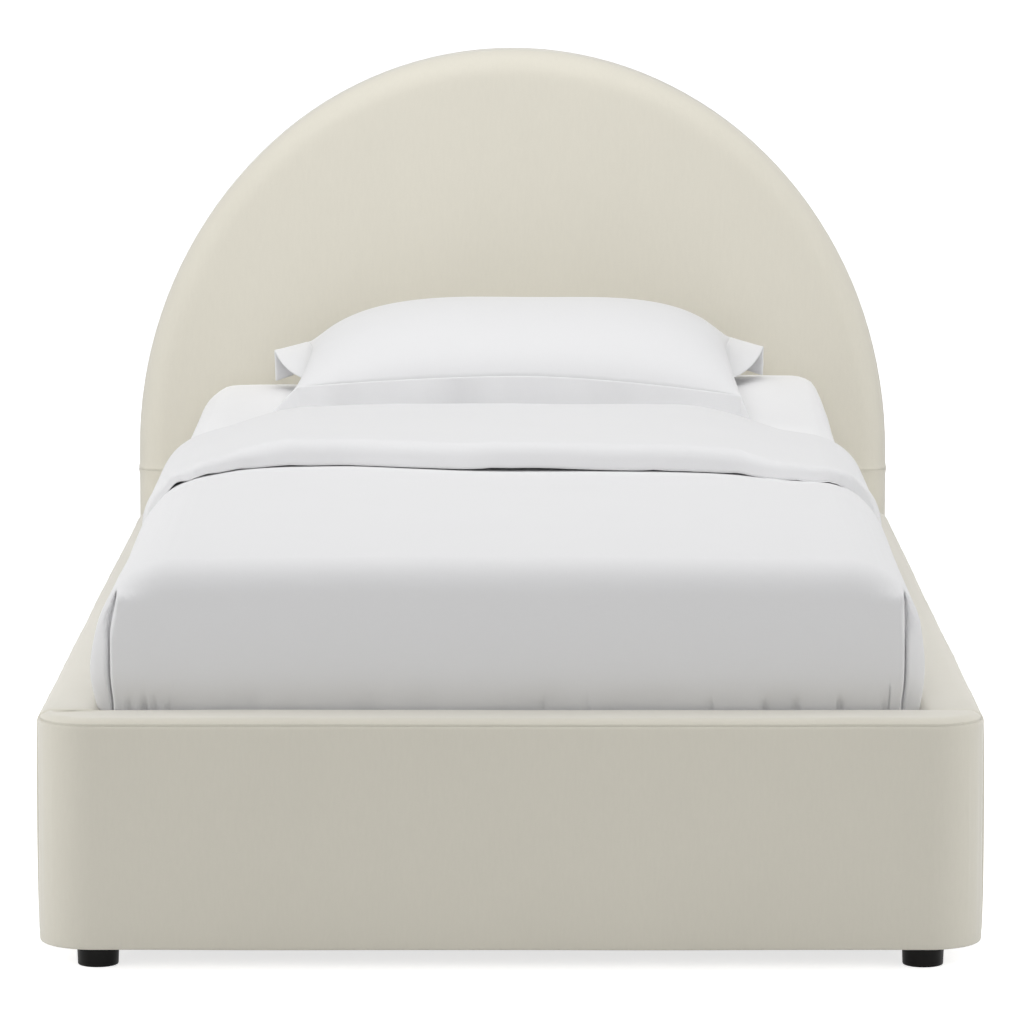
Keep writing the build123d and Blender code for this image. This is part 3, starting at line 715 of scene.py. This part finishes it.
bedStyle = {
    **inMm(mattressHalf=480, mattressThick=254, mattressCrown=4, shoulder=50, endRound=38, baseRound=20,
           leanDepth=40, frontGap=4, row=16, sheetLayer=1.5, riseFoot=120),
    "lean": 0.9,                    # degrees
    # beside the pillow: height and where it ends, left and right
    "rises": ((0.010, 0.42, 0.482), (0.025, 0.455, 0.50)),
    "riseStart": (0.27, 0.34),
    "riseAlong": (0.56, 0.90),
}

mattressLow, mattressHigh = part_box("mattress_cover")
pivot = Vector((0, mattressHigh.y, mattressLow.z))
leanTurn = Matrix.Rotation(math.radians(bedStyle["lean"]), 3, "X")


def leanDown(bm):
    bmesh.ops.rotate(bm, cent=pivot, matrix=leanTurn, verts=bm.verts)


def cushionBlock(half, low, high, front, back, crown, shoulder, endRound, row):
    # a long block with soft shoulders and ends and a slight crown across
    bm = cubeMesh((-half, front, low), (half, back, high))
    for edgeX in (-half, half):
        roundEdges(bm, edgesAt(bm, "y", x=edgeX, z=high), shoulder, 8)
    for edgeY in (front, back):
        roundEdges(bm, edgesAt(bm, y=edgeY, above=low + 0.1 * mm), endRound, 8)
    sliceAt(bm, 0, evenly(-half, half, row))
    sliceAt(bm, 1, evenly(front, back, row))
    sliceAt(bm, 2, evenly(low, high - shoulder, row))
    for vert in bm.verts:
        lift = max(0, vert.co.z - low) / (high - low)
        vert.co.z += crown * lift * (1 - (vert.co.x / half) ** 2)
    return bm


def cutLevel(bm, height):
    cut = cutPlane(bm, (0, 0, height), (0, 0, -1), 1e-6, clear_outer=True)
    bmesh.ops.edgeloop_fill(bm, edges=[item for item in cut if isinstance(item, bmesh.types.BMEdge)])


def headLift(place):
    # the mattress stands a little higher beside the pillow, more so on the right
    amount, inner, outer = bedStyle["rises"][place.x >= 0]
    aside = ramp(abs(place.x), *bedStyle["riseStart"]) * (1 - ramp(abs(place.x), inner, outer))
    return amount * aside * ramp(place.y, *bedStyle["riseAlong"])


def mattressForm(grow, row):
    base = mattressLow.z
    bm = cushionBlock(bedStyle["mattressHalf"] + grow, base - bedStyle["leanDepth"],
                      base + bedStyle["mattressThick"] + grow, mattressLow.y + bedStyle["frontGap"] - grow,
                      mattressHigh.y + grow, bedStyle["mattressCrown"], bedStyle["shoulder"] + grow,
                      bedStyle["endRound"] + grow, row)
    leanDown(bm)
    cutLevel(bm, base - grow)
    rim = [edge for edge in edgesAt(bm, z=base - grow) if len(edge.link_faces) == 2
           and any(abs(face.normal.z) < 0.5 for face in edge.link_faces)]
    roundEdges(bm, rim, bedStyle["baseRound"] + grow, 5)
    for vert in bm.verts:
        vert.co.z += headLift(vert.co) * ramp(vert.co.z - base, bedStyle["riseFoot"], bedStyle["mattressThick"])
    return bm


tickingStyle = inMm(row=40, inside=-0.6, uneven=0.5)


def makeMattress():
    bm = mattressForm(0, tickingStyle["row"])
    bm.normal_update()
    for vert in bm.verts:
        vert.co += vert.normal * (tickingStyle["inside"] + tickingStyle["uneven"] * bumpiness(vert.co, 9, 4))
    piece = makePiece("mattress_ticking", bm, "ticking", "mattress", ["mattress_cover"])


sheetStyle = {
    **inMm(thick=1.2, clear=0.2, turnUnder=66, pull=1.0, gather=2.2, gatherAcross=90, gatherAlong=100, gatherDrop=200),
    "rippleScale": 38,
    "least": 0.4,                   # share of the gathers that is left low on the side
    "cut": (1.64, 2.58),
}


def makeFittedSheet():
    style = sheetStyle
    grow = style["thick"] + style["clear"]
    bm = mattressForm(grow, bedStyle["row"])
    base = mattressLow.z - grow
    # the sheet turns under the mattress and leaves the middle of its base open
    under = [face for face in bm.faces if abs(face.calc_center_median().z - base) < 0.1 * mm]
    bmesh.ops.inset_region(bm, faces=under, thickness=style["turnUnder"], use_even_offset=True)
    bmesh.ops.delete(bm, geom=under, context="FACES")
    bm.normal_update()
    half, middle = bedStyle["mattressHalf"], (mattressLow.y + mattressHigh.y) / 2
    for vert in bm.verts:
        side = max(0, 1 - (mattressHigh.z - vert.co.z) / style["gatherDrop"])
        corner = bell(abs(vert.co.x) - half, style["gatherAcross"]) \
            * bell(abs(vert.co.y - middle) - (mattressHigh.y - middle), style["gatherAlong"])
        ripple = bumpiness((vert.co.x, vert.co.y, vert.co.z * 0.25), style["rippleScale"], 1)
        slow = bumpiness(vert.co, 6, 7)
        vert.co += vert.normal * (style["pull"] * max(0, slow) + style["gather"] * corner
                                  * max(0, ripple) * between((style["least"], 1), side))
    piece = makePiece("fitted_sheet_cloth", bm, "linen", "mattress", ["fitted_sheet"])
    thicken(piece, style["thick"], -1)
    bakeModifiers(piece)


makeMattress()
makeFittedSheet()
print("mattress and sheet made")


# duvet: one quilted sheet over the mattress, folded back on itself at the head

duvetStyle = {
    **inMm(half=500, above=18.5, bottom=300, shoulder=84, endRound=41, row=14, sideRow=7,
           front=3, crease=527.5,                # from the footboard, and from the headboard to the fold
           plump=17.5, bandPlump=18, hemPlump=33, foldRadius=2.2,
           edge=10, edgeReach=60, roll=22, thinEnds=(300, 460),     # the hem is fullest inside its edge
           bandLength=572, bandBottom=322, bandTuck=400, tuckReach=40,      # its lower part draws in to the rail
           rowsEnd=28, hemRows=(21, 15.5, 11, 7.5, 4.5, 2, 0.7, 0),
           slitRows=(-9, -5, -3, -1.5, -0.6, 0, 0.6, 1.5, 3, 5),
           # two values are for the left and the right, or from and to
           pressStart=(300, 240), pressEnd=475, hemReach=120, creaseReach=160,
           hemSweep=(14, 78), sweepStart=(140, 270), sweepFull=(380, 460), sweepEnd=(445, 495), sweepFade=(30, 400),
           hemBack=60, backStart=(10, 250), backEnd=(360, 460),
           creaseSweep=(60, 130), creaseStart=(150, 250), creaseFade=250, creaseDip=16, dipAcross=(-20, 100),
           nearHem=45, hemDrop=3.0, dropWidth=28, lift=4, nosePush=14, noseFrom=8, noseWidth=5,
           bulge=8, flapBulge=(10, 2), bulgeHeight=385, bulgeWidth=62, flankAcross=(479, 499), footReach=(20, 240),
           slit=482, slitTop=456, slitDepth=17, slitBow=7.5, bowAcross=14, bowDown=60, flapBack=6,
           cornerDepth=32, slitFade=(-4, 12), lensDown=34, lensLong=20, slitAt=0.9, slitWide=1.0,
           flatUpTo=0.3, flapStep=2,
           tuck=(1.5, 5.5), tuckHeight=(17, 24), tuckFolds=2.6, pleatHeight=11, slowHeights=(360, 460)),
    "foldSteps": 6,
    "hemThinning": 0.6,
    "nose": (2.8, 0.36, 0.1),                    # how the edge rounds, and its least share of the thickness
    "lensSwell": 1.8,
    "flatShare": 0.85,
    "pressed": (0.47, 0.40),                     # on to the mattress, along the hem and along the fold
    "slow": ((3.2, 11, 1.6), (9, 17, 0.8)),      # each wave's scale, seed and height in mm
    "wander": ((9, 23, 5), (31, 5, 2)),
}

# across, width and height in mm of the hem's short lifts
hemLifts = [(25, 75, 3.8), (-300, 12, 1.6), (-377, 12, 2), (-414, 16, 3), (-456, 12, 5), (195, 12, 1.5),
            (308, 16, 2), (383, 18, 2.2), (431, 14, 2.5)]

# across, width and depth in mm of the pleats where its end is tucked in
tuckPleats = [(-467, 5, 3), (-449, 5, 8), (-437, 5, 4), (-420, 5, 3), (40, 5, 2), (94, 5, 2), (246, 5, 4),
              (312, 6, 6), (351, 6, 5), (404, 5, 8), (459, 5, 3)]


def ridges(across, table, spread=1):
    # the height at one place of a row of narrow ridges
    return sum(height * mm * bell(across - middle * mm, width * mm * spread) for middle, width, height in table)


def duvetSkin():
    # upper face of the main layer, open below and at the head
    style = duvetStyle
    low = style["bottom"]
    high = mattressLow.z + bedStyle["mattressThick"] + style["above"]
    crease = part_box("headboard_upper_cover")[0].y - style["crease"]
    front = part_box("footboard_top_cover")[1].y + style["front"]
    bm = cubeMesh((-style["half"], front, low), (style["half"], crease, high))
    bmesh.ops.delete(bm, geom=facing(bm, (0, 0, -1)) + facing(bm, (0, 1, 0)), context="FACES")
    for edgeX in (-style["half"], style["half"]):
        roundEdges(bm, edgesAt(bm, "y", x=edgeX, z=high), style["shoulder"], 12)
    roundEdges(bm, edgesAt(bm, y=front, above=low + 0.1 * mm), style["endRound"], 10)
    slit = style["slit"]
    nearSlit = [slit + step for step in style["slitRows"]]
    sliceAt(bm, 0, evenly(-slit, slit, style["row"]) + nearSlit + [-place for place in nearSlit])
    sliceAt(bm, 0, [(across + step * width) * mm for across, width, depth in tuckPleats
                    for step in (-1.2, -0.5, 0.1, 0.7, 1.3)])
    sliceAt(bm, 1, evenly(front + style["endRound"], crease, style["row"]))
    sliceAt(bm, 2, evenly(low, high - style["shoulder"], style["sideRow"]))
    for vert in bm.verts:
        vert.co.z += bedStyle["mattressCrown"] * (1 - (vert.co.x / style["half"]) ** 2) \
            * max(0, vert.co.z - low) / (high - low)
    return bm, front, crease


def foldBack(bm, crease):
    # the open head edge is drawn round the fold and forward over the main layer
    style = duvetStyle
    layer = bm.verts.layers.float.new("band")
    bm.normal_update()
    rim = [edge for edge in bm.edges if edge.is_boundary and all(abs(vert.co.y - crease) < 0.1 * mm
                                                                 for vert in edge.verts)]
    home = {}
    for vert in {vert for edge in rim for vert in edge.verts}:
        flat = Vector((vert.co.x, 0, vert.co.z))
        normal = Vector((vert.normal.x, 0, vert.normal.z)).normalized()
        home[vert] = (flat, normal)
    radius = style["foldRadius"]
    steps = []
    for index in range(1, style["foldSteps"] + 1):
        turn = math.pi * index / style["foldSteps"]
        steps.append((radius * (1 - math.cos(turn)), radius * math.sin(turn), 0))
    length = style["bandLength"]
    places = evenly(style["row"], length - style["rowsEnd"], style["row"])
    places += [length - step for step in style["hemRows"]]
    steps += [(2 * radius, 0, place) for place in places]
    for offset, behind, forward in steps:
        made = bmesh.ops.extrude_edge_only(bm, edges=rim)["geom"]
        nextHome = {}
        for vert in made:
            if isinstance(vert, bmesh.types.BMVert) and vert not in home:
                source = next(edge.other_vert(vert) for edge in vert.link_edges if edge.other_vert(vert) in home)
                nextHome[vert] = home[source]
        for vert, (flat, normal) in nextHome.items():
            place = flat + normal * offset
            squeeze = min(1, forward / style["tuckReach"])
            if flat.z < style["bandTuck"]:
                share = (style["bandTuck"] - style["bandBottom"]) / (style["bandTuck"] - style["bottom"])
                lowered = style["bandTuck"] - (style["bandTuck"] - flat.z) * share
                place.z += (lowered - flat.z) * squeeze
            vert.co = Vector((place.x, crease + behind - forward, place.z))
            vert[layer] = 1
        home = nextHome
        rim = [item for item in made if isinstance(item, bmesh.types.BMEdge)
               and all(vert in home for vert in item.verts)]
    return layer


def edgeDistance(bm, reach):
    # how far each point is from a free edge, walked along the mesh
    distance = {vert: 0 for vert in bm.verts if vert.is_boundary}
    wave = list(distance)
    while wave:
        following = []
        for vert in wave:
            for edge in vert.link_edges:
                other = edge.other_vert(vert)
                further = distance[vert] + edge.calc_length()
                if further < min(reach, distance.get(other, reach)) - 1e-7:
                    distance[other] = further
                    following.append(other)
        wave = following
    return distance


def fromMattress(place):
    # direction away from the sheeted mattress and distance to it, across its section
    half = bedStyle["mattressHalf"] + bedStyle["sheetLayer"]
    top = mattressLow.z + bedStyle["mattressThick"] + bedStyle["sheetLayer"]
    radius = bedStyle["shoulder"]
    sign = math.copysign(1, place.x)
    across, up = abs(place.x) - half + radius, place.z - top + radius
    if across > 0 and up > 0:
        reach = math.hypot(across, up)
        return Vector((sign * across / reach, 0, up / reach)), reach - radius
    if up > 0:
        crown = bedStyle["mattressCrown"] * (1 - (place.x / half) ** 2)
        return Vector((0, 0, 1)), up - radius - crown
    return Vector((sign, 0, 0)), across - radius


def makeDuvet():
    style = duvetStyle
    bm, front, crease = duvetSkin()
    layer = foldBack(bm, crease)
    bm.verts.index_update()
    bm.normal_update()
    distance = edgeDistance(bm, style["edgeReach"])
    fromEdge = [distance.get(vert, 1) for vert in bm.verts]
    band = [vert[layer] > 0.5 for vert in bm.verts]
    home = [vert.co.copy() for vert in bm.verts]
    piece = makePiece("duvet_cover", bm, "cotton", "duvet", ["duvet"])
    # a quilt edge is thin: its thickness grows over a few rows
    power, root, least = style["nose"]
    shares = []
    for away, folded, start in zip(fromEdge, band, home):
        nose = (1 - (1 - min(1, away / style["edge"])) ** power) ** root
        full = style["plump"]
        if folded:
            rolled = bell(away - style["roll"], style["roll"]) \
                * (1 - style["hemThinning"] * ramp(abs(start.x), *style["thinEnds"]))
            full = style["bandPlump"] + (style["hemPlump"] - style["bandPlump"]) * rolled
        shares.append(full / style["hemPlump"] * between((least, 1), nose))
    thicken(piece, style["hemPlump"], -1, shares)
    bakeModifiers(piece)
    shapeDuvet(piece, home, band, fromEdge, front, crease)
    lean = Matrix.Translation(pivot) @ leanTurn.to_4x4() @ Matrix.Translation(-pivot)
    piece.data.transform(lean)


def shapeDuvet(piece, home, band, fromEdge, front, crease):
    style = duvetStyle
    high = mattressLow.z + bedStyle["mattressThick"] + style["above"]
    verts = piece.data.vertices
    normals = [vert.normal.copy() for vert in verts]
    hem = crease - style["bandLength"]
    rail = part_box("side_rail_top_cover_right")[1].z
    count = len(home)
    for index, vert in enumerate(verts):
        outer = index < count
        start = home[index % count]
        folded = band[index % count]
        normal = normals[index]
        place = vert.co
        aside, hand = abs(start.x), int(start.x >= 0)
        # both layers are pressed on to the mattress along its shoulders and sides
        way, height = fromMattress(place)
        forward = 0
        if folded:
            onShoulder = ramp(aside, style["sweepStart"][hand], style["sweepFull"][hand]) \
                - ramp(aside, *style["sweepEnd"])
            drawnBack = ramp(-start.x, *style["backStart"]) - ramp(-start.x, *style["backEnd"])
            forward = style["hemSweep"][hand] * onShoulder - style["hemBack"] * drawnBack
            forward *= 1 - ramp(place.y - hem, *style["sweepFade"])
        atHem, atCrease = style["pressed"]
        pressed = atHem * ramp(place.y - forward, hem - style["hemReach"], hem) \
            + atCrease * ramp(place.y, crease - style["creaseReach"], crease)
        place -= way * max(0, height) * pressed * ramp(aside, style["pressStart"][hand], style["pressEnd"])
        place += way * waves(place, style["slow"]) * ramp(place.z, *style["slowHeights"])
        if folded:
            # the hem lies on the layer below, but for a few short lifts
            nearHem = bell(place.y - hem, style["nearHem"])
            slow, quick = style["wander"]
            place.y += (waves((start.x, 0.2, 0.1), [slow]) + waves((start.x, 0, start.z), [quick])) * nearHem
            lift = style["lift"] * max(0, bumpiness((start.x, 0.5, start.z), 23, 31) - 0.2)
            lift += ridges(start.x, hemLifts)
            place += way * (lift * nearHem - style["hemDrop"] * bell(place.y - hem, style["dropWidth"]))
            if outer:
                # its front stands upright and hangs over a little
                place.y -= style["nosePush"] * bell(fromEdge[index % count] - style["noseFrom"], style["noseWidth"])
        place.y -= forward
        sweep = style["creaseSweep"][hand] * ramp(aside, style["creaseStart"][hand], style["pressEnd"])
        sweep += style["creaseDip"] * ramp(start.x, *style["dipAcross"])
        place.y -= sweep * ramp(place.y, crease - style["creaseFade"], crease)
        # the flank swells above the rail, most at the foot corners
        flank = ramp(aside, *style["flankAcross"]) * bell(place.z - style["bulgeHeight"], style["bulgeWidth"])
        grown = style["bulge"] * (1 - ramp(place.y, hem - style["hemReach"], hem)) \
            + style["flapBulge"][hand] * (1 - ramp(place.y - front, *style["footReach"]))
        place.x += math.copysign(grown, start.x) * flank
        if outer:
            shapeCorner(place, start, normal, front, high)
        # little gathers where it is tucked in, deeper at the front
        atFront = ramp(-normal.y, 0.3, 0.8)
        overRail = max(0, place.z - rail - leanDrop(place))
        tucked = bell(overRail, between(style["tuckHeight"], atFront))
        along = place.x if abs(normal.y) > abs(normal.x) else place.y
        fold = bumpiness((along, 0.3, place.z * 0.2), 34, 13) + 0.5 * bumpiness((along, 0.1, place.z * 0.4), 85, 3)
        drawn = between(style["tuck"], atFront) + style["tuckFolds"] * max(-0.3, fold)
        place -= Vector((normal.x, normal.y, 0)) * tucked * drawn
        overRail = max(0, place.z - rail - leanDrop(place))
        place.y += ridges(start.x, tuckPleats, 0.7) * atFront * bell(overRail, style["pleatHeight"])
        vert.co = place


def leanDrop(place):
    # how far the lean will lower this point
    return (pivot.y - place.y) * math.sin(math.radians(bedStyle["lean"]))


def shapeCorner(place, start, normal, front, high):
    # a slit at each foot corner, with the flap beside it set back
    style = duvetStyle
    if place.y > front + style["cornerDepth"]:
        return
    away = abs(start.x) - style["slit"]
    height = place.z - leanDrop(place)
    below = ramp(style["slitTop"] - height, *style["slitFade"]) * ramp(-normal.y, 0.05, 0.5)
    lens = 1 + style["lensSwell"] * bell(height - style["slitTop"] + style["lensDown"], style["lensLong"])
    # the panel between the slits stays flat right up to them
    topRise = max(0, place.z - high + style["endRound"])
    flat = front + style["endRound"] - math.sqrt(max(0, style["endRound"] ** 2 - topRise ** 2))
    if away < style["flatUpTo"]:
        place.y -= style["flatShare"] * max(0, place.y - flat) * below
    depth = style["slitDepth"] * bell(away - style["slitAt"] * lens, style["slitWide"] * lens)
    flap = style["flapBack"] * ramp(away, 0, style["flapStep"])
    place.y += (depth + flap) * below
    if start.x < 0:
        # the left slit runs outwards below its top
        place.x -= style["slitBow"] * bell(away, style["bowAcross"]) \
            * ramp(style["slitTop"] - height, 0, style["bowDown"]) * below


makeDuvet()
print("duvet made")


# pillow in a sham whose flat flange droops round it

pillowStyle = {
    **inMm(center=(10, 689.5), half=(325, 196), top=669,
           # heights of the seam, the corners' from left to right
           seamMiddle=575, seamSide=590, seamFront=578, frontCorner=(562, 549), backCorner=(584, 591),
           sag=5,                                # the right half lies a little lower
           fall=74, puckers=1.3, unevenness=1.8, overSheet=1,
           bow=14,                               # the sides pull in between their corners
           flange=52, flangeCloth=2.4, hem=9, hemStep=1,
           flangeRow=9, seamRows=(2, 5, 10), outerRows=(14, 6),
           tuck=3,                               # the flange starts inside the seam
           flangeOverSheet=0.6, fillingGap=2.5),
    "cells": (96, 60),
    "crowding": 0.92,                            # rows are closer near the seam
    "puckerReach": 0.16,
    "frontBow": 0.25,                            # share of the bow that the front and back have
    "swellPowers": ((3.3, 0.75), (4, 0.65)),     # left, right
    "swellAlong": (2.5, 0.65),
    "backShare": 0.84,                           # its far strip shows narrower
    "thinShare": 0.62,                           # the flange's thickness inside its hem
    "droop": {"back": 14, "side": 118, "front": (45, 72), "farEnd": 80, "nearEnd": 77},
    "slide": (0.5, 0.6),                         # where the flange meets the sheet it slides outward
    "fillingShrink": 0.03,
}

# the sham's cloth in its simulation
clothStyle = {
    "quality": 5,
    "mass": 0.3,
    "frames": 20,
    "stiffness": 10,
    "bending": 0.4,
    "pressure": 3,
    "cap": 7 * mm,                               # the furthest that a point may move
}


def seamHeight(across, along):
    # height of the seam's surface, for shares -1 to 1 of the pillow's half sizes
    style = pillowStyle
    hand = 0 if across < 0 else 1
    corner = style["frontCorner"][hand]
    side = abs(across) ** 1.6
    front = style["seamFront"] + (corner - style["seamFront"]) * side
    middle = style["seamMiddle"] + (style["seamSide"] - style["seamMiddle"]) * side
    back = style["seamMiddle"] + (style["backCorner"][hand] - style["seamMiddle"]) * side
    far = front if along < 0 else back
    return middle + (far - middle) * abs(along) ** 1.8


def sheetTop(place):
    return mattressLow.z + bedStyle["mattressThick"] + bedStyle["sheetLayer"] \
        + bedStyle["mattressCrown"] * (1 - (place.x / bedStyle["mattressHalf"]) ** 2)


def pillowHalf(bm, side, rim):
    # one face of the pillow: a grid that swells from the seam
    style = pillowStyle
    halfX, halfY = style["half"]
    turned = quarter * style["crowding"]
    grid = bmesh.ops.create_grid(bm, x_segments=style["cells"][0], y_segments=style["cells"][1], size=1)["verts"]
    for vert in grid:
        across, along = (math.sin(share * turned) / math.sin(turned) for share in vert.co[:2])
        vert[rim] = 1 if max(abs(across), abs(along)) > 0.999 else 0
        seam = seamHeight(across, along)
        power, root = style["swellPowers"][int(across >= 0)]
        powerAlong, rootAlong = style["swellAlong"]
        swell = max(0, 1 - abs(across) ** power) ** root * max(0, 1 - abs(along) ** powerAlong) ** rootAlong
        vert.co.x = style["center"][0] + across * (halfX - style["bow"] * (1 - along ** 2))
        vert.co.y = style["center"][1] + along * (halfY - style["frontBow"] * style["bow"] * (1 - across ** 2))
        if side > 0:
            vert.co.z = seam + (style["top"] - style["seamMiddle"] - style["sag"] * max(0, across)) * swell
        else:
            vert.co.z = max(seam - style["fall"] * swell, sheetTop(vert.co) + style["overSheet"])
        edge = swell ** 0.5 * bell(1 - max(abs(across), abs(along)), style["puckerReach"])
        turn = vert.co.y if abs(across) > abs(along) else vert.co.x
        vert.co.z += side * edge * style["puckers"] * bumpiness((turn, side, 0), 46, 9)
        vert.co.z += side * swell * style["unevenness"] * bumpiness(vert.co, 7, 3)


def flangeAngles(across, along):
    # how far the side and the end strips droop
    droop = pillowStyle["droop"]
    corner = droop["back"] if along > 0 else droop["front"][int(across >= 0)]
    side = between((droop["side"], corner), abs(along) ** 1.5)
    return math.radians(side), math.radians(droop["farEnd"] if along > 0 else droop["nearEnd"])


def makeFlange():
    style = pillowStyle
    halfX, halfY = style["half"]
    wide = style["flange"]
    bm = cubeMesh((-halfX - wide, -halfY - wide, 0), (halfX + wide, halfY + wide, 1))
    bmesh.ops.delete(bm, geom=[face for face in bm.faces if face.normal.z < 0.5], context="FACES")
    rows = [-style["tuck"], 0, *style["seamRows"]] + evenly(style["outerRows"][0], wide, style["outerRows"][1])
    for axis, half in enumerate(style["half"]):
        beyond = [sign * (half + row) for row in rows for sign in (-1, 1)]
        sliceAt(bm, axis, evenly(-half, half, style["flangeRow"]) + beyond)
    inside = [face for face in bm.faces if abs(face.calc_center_median().x) < halfX - style["tuck"]
              and abs(face.calc_center_median().y) < halfY - style["tuck"]]
    bmesh.ops.delete(bm, geom=inside, context="FACES")
    edgeShare = []
    for vert in bm.verts:
        beyondX, beyondY = abs(vert.co.x) - halfX, abs(vert.co.y) - halfY
        across = max(-1, min(1, vert.co.x / halfX))
        along = max(-1, min(1, vert.co.y / halfY))
        sideTurn, endTurn = flangeAngles(across, along)
        signX, signY = math.copysign(1, vert.co.x), math.copysign(1, vert.co.y)
        # waves along the strip, stronger towards its hem
        turn = vert.co.y if beyondX > 0 else vert.co.x
        wave = bumpiness((turn, signX, signY), 17, 5) * 0.22 + bumpiness((turn, signY, signX), 45, 8) * 0.06
        sideTurn, endTurn = sideTurn + wave, endTurn + wave
        x = signX * (min(abs(vert.co.x), halfX) - style["bow"] * (1 - along ** 2))
        y = signY * (min(abs(vert.co.y), halfY) - style["frontBow"] * style["bow"] * (1 - across ** 2))
        z = seamHeight(across, along)
        if beyondX > 0:
            x += signX * beyondX * math.cos(sideTurn)
            z -= beyondX * math.sin(sideTurn)
        if beyondY > 0:
            out = beyondY * (style["backShare"] if signY > 0 else 1)
            y += signY * out * math.cos(endTurn)
            z -= out * math.sin(endTurn)
        vert.co = Vector((x + style["center"][0], y + style["center"][1], z))
        short = sheetTop(vert.co) + style["flangeCloth"] + style["flangeOverSheet"] - vert.co.z
        if short > 0:
            vert.co.z += short
            vert.co.y += signY * style["slide"][1] * short if beyondY > 0 else 0
            vert.co.x += signX * style["slide"][0] * short if beyondX > 0 else 0
        hemShare = min(1, max(0, (max(beyondX, beyondY) - wide + style["hem"]) / style["hemStep"]))
        edgeShare.append(between((style["thinShare"], 1), hemShare))
    return bm, edgeShare


def makeFilling(cover):
    # the insert is the cover's own shape, drawn in
    style = pillowStyle
    bm = bmesh.new()
    bm.from_mesh(cover.data)
    bmesh.ops.smooth_vert(bm, verts=bm.verts, factor=0.5, use_axis_x=True, use_axis_y=True, use_axis_z=True)
    bm.normal_update()
    for vert in bm.verts:
        vert.co -= vert.normal * style["fillingGap"]
        vert.co.x += (style["center"][0] - vert.co.x) * style["fillingShrink"]
        vert.co.y += (style["center"][1] - vert.co.y) * style["fillingShrink"]
    piece = makePiece("pillow_filling", bm, "foam", "pillow", ["pillow_insert"])


def makePillow():
    bm = bmesh.new()
    rim = bm.verts.layers.float.new("rim")
    for side in (1, -1):
        pillowHalf(bm, side, rim)
    bmesh.ops.remove_doubles(bm, verts=bm.verts, dist=0.05 * mm)
    leanDown(bm)
    held = [index for index, vert in enumerate(bm.verts) if vert[rim] > 0.5]
    piece = makePiece("pillow_cover", bm, "cotton", "pillow", ["pillow_sham"])
    swellCloth(piece, held, clothStyle)
    makeFilling(piece)
    bm, edgeShare = makeFlange()
    leanDown(bm)
    flange = makePiece("pillow_flange", bm, "cotton", "pillow", ["pillow_sham"])
    thicken(flange, pillowStyle["flangeCloth"], 0, edgeShare)
    smooth = flange.modifiers.new("smooth", "SUBSURF")
    smooth.levels = smooth.render_levels = 1
    bakeModifiers(flange)


makePillow()
print("pillow made")
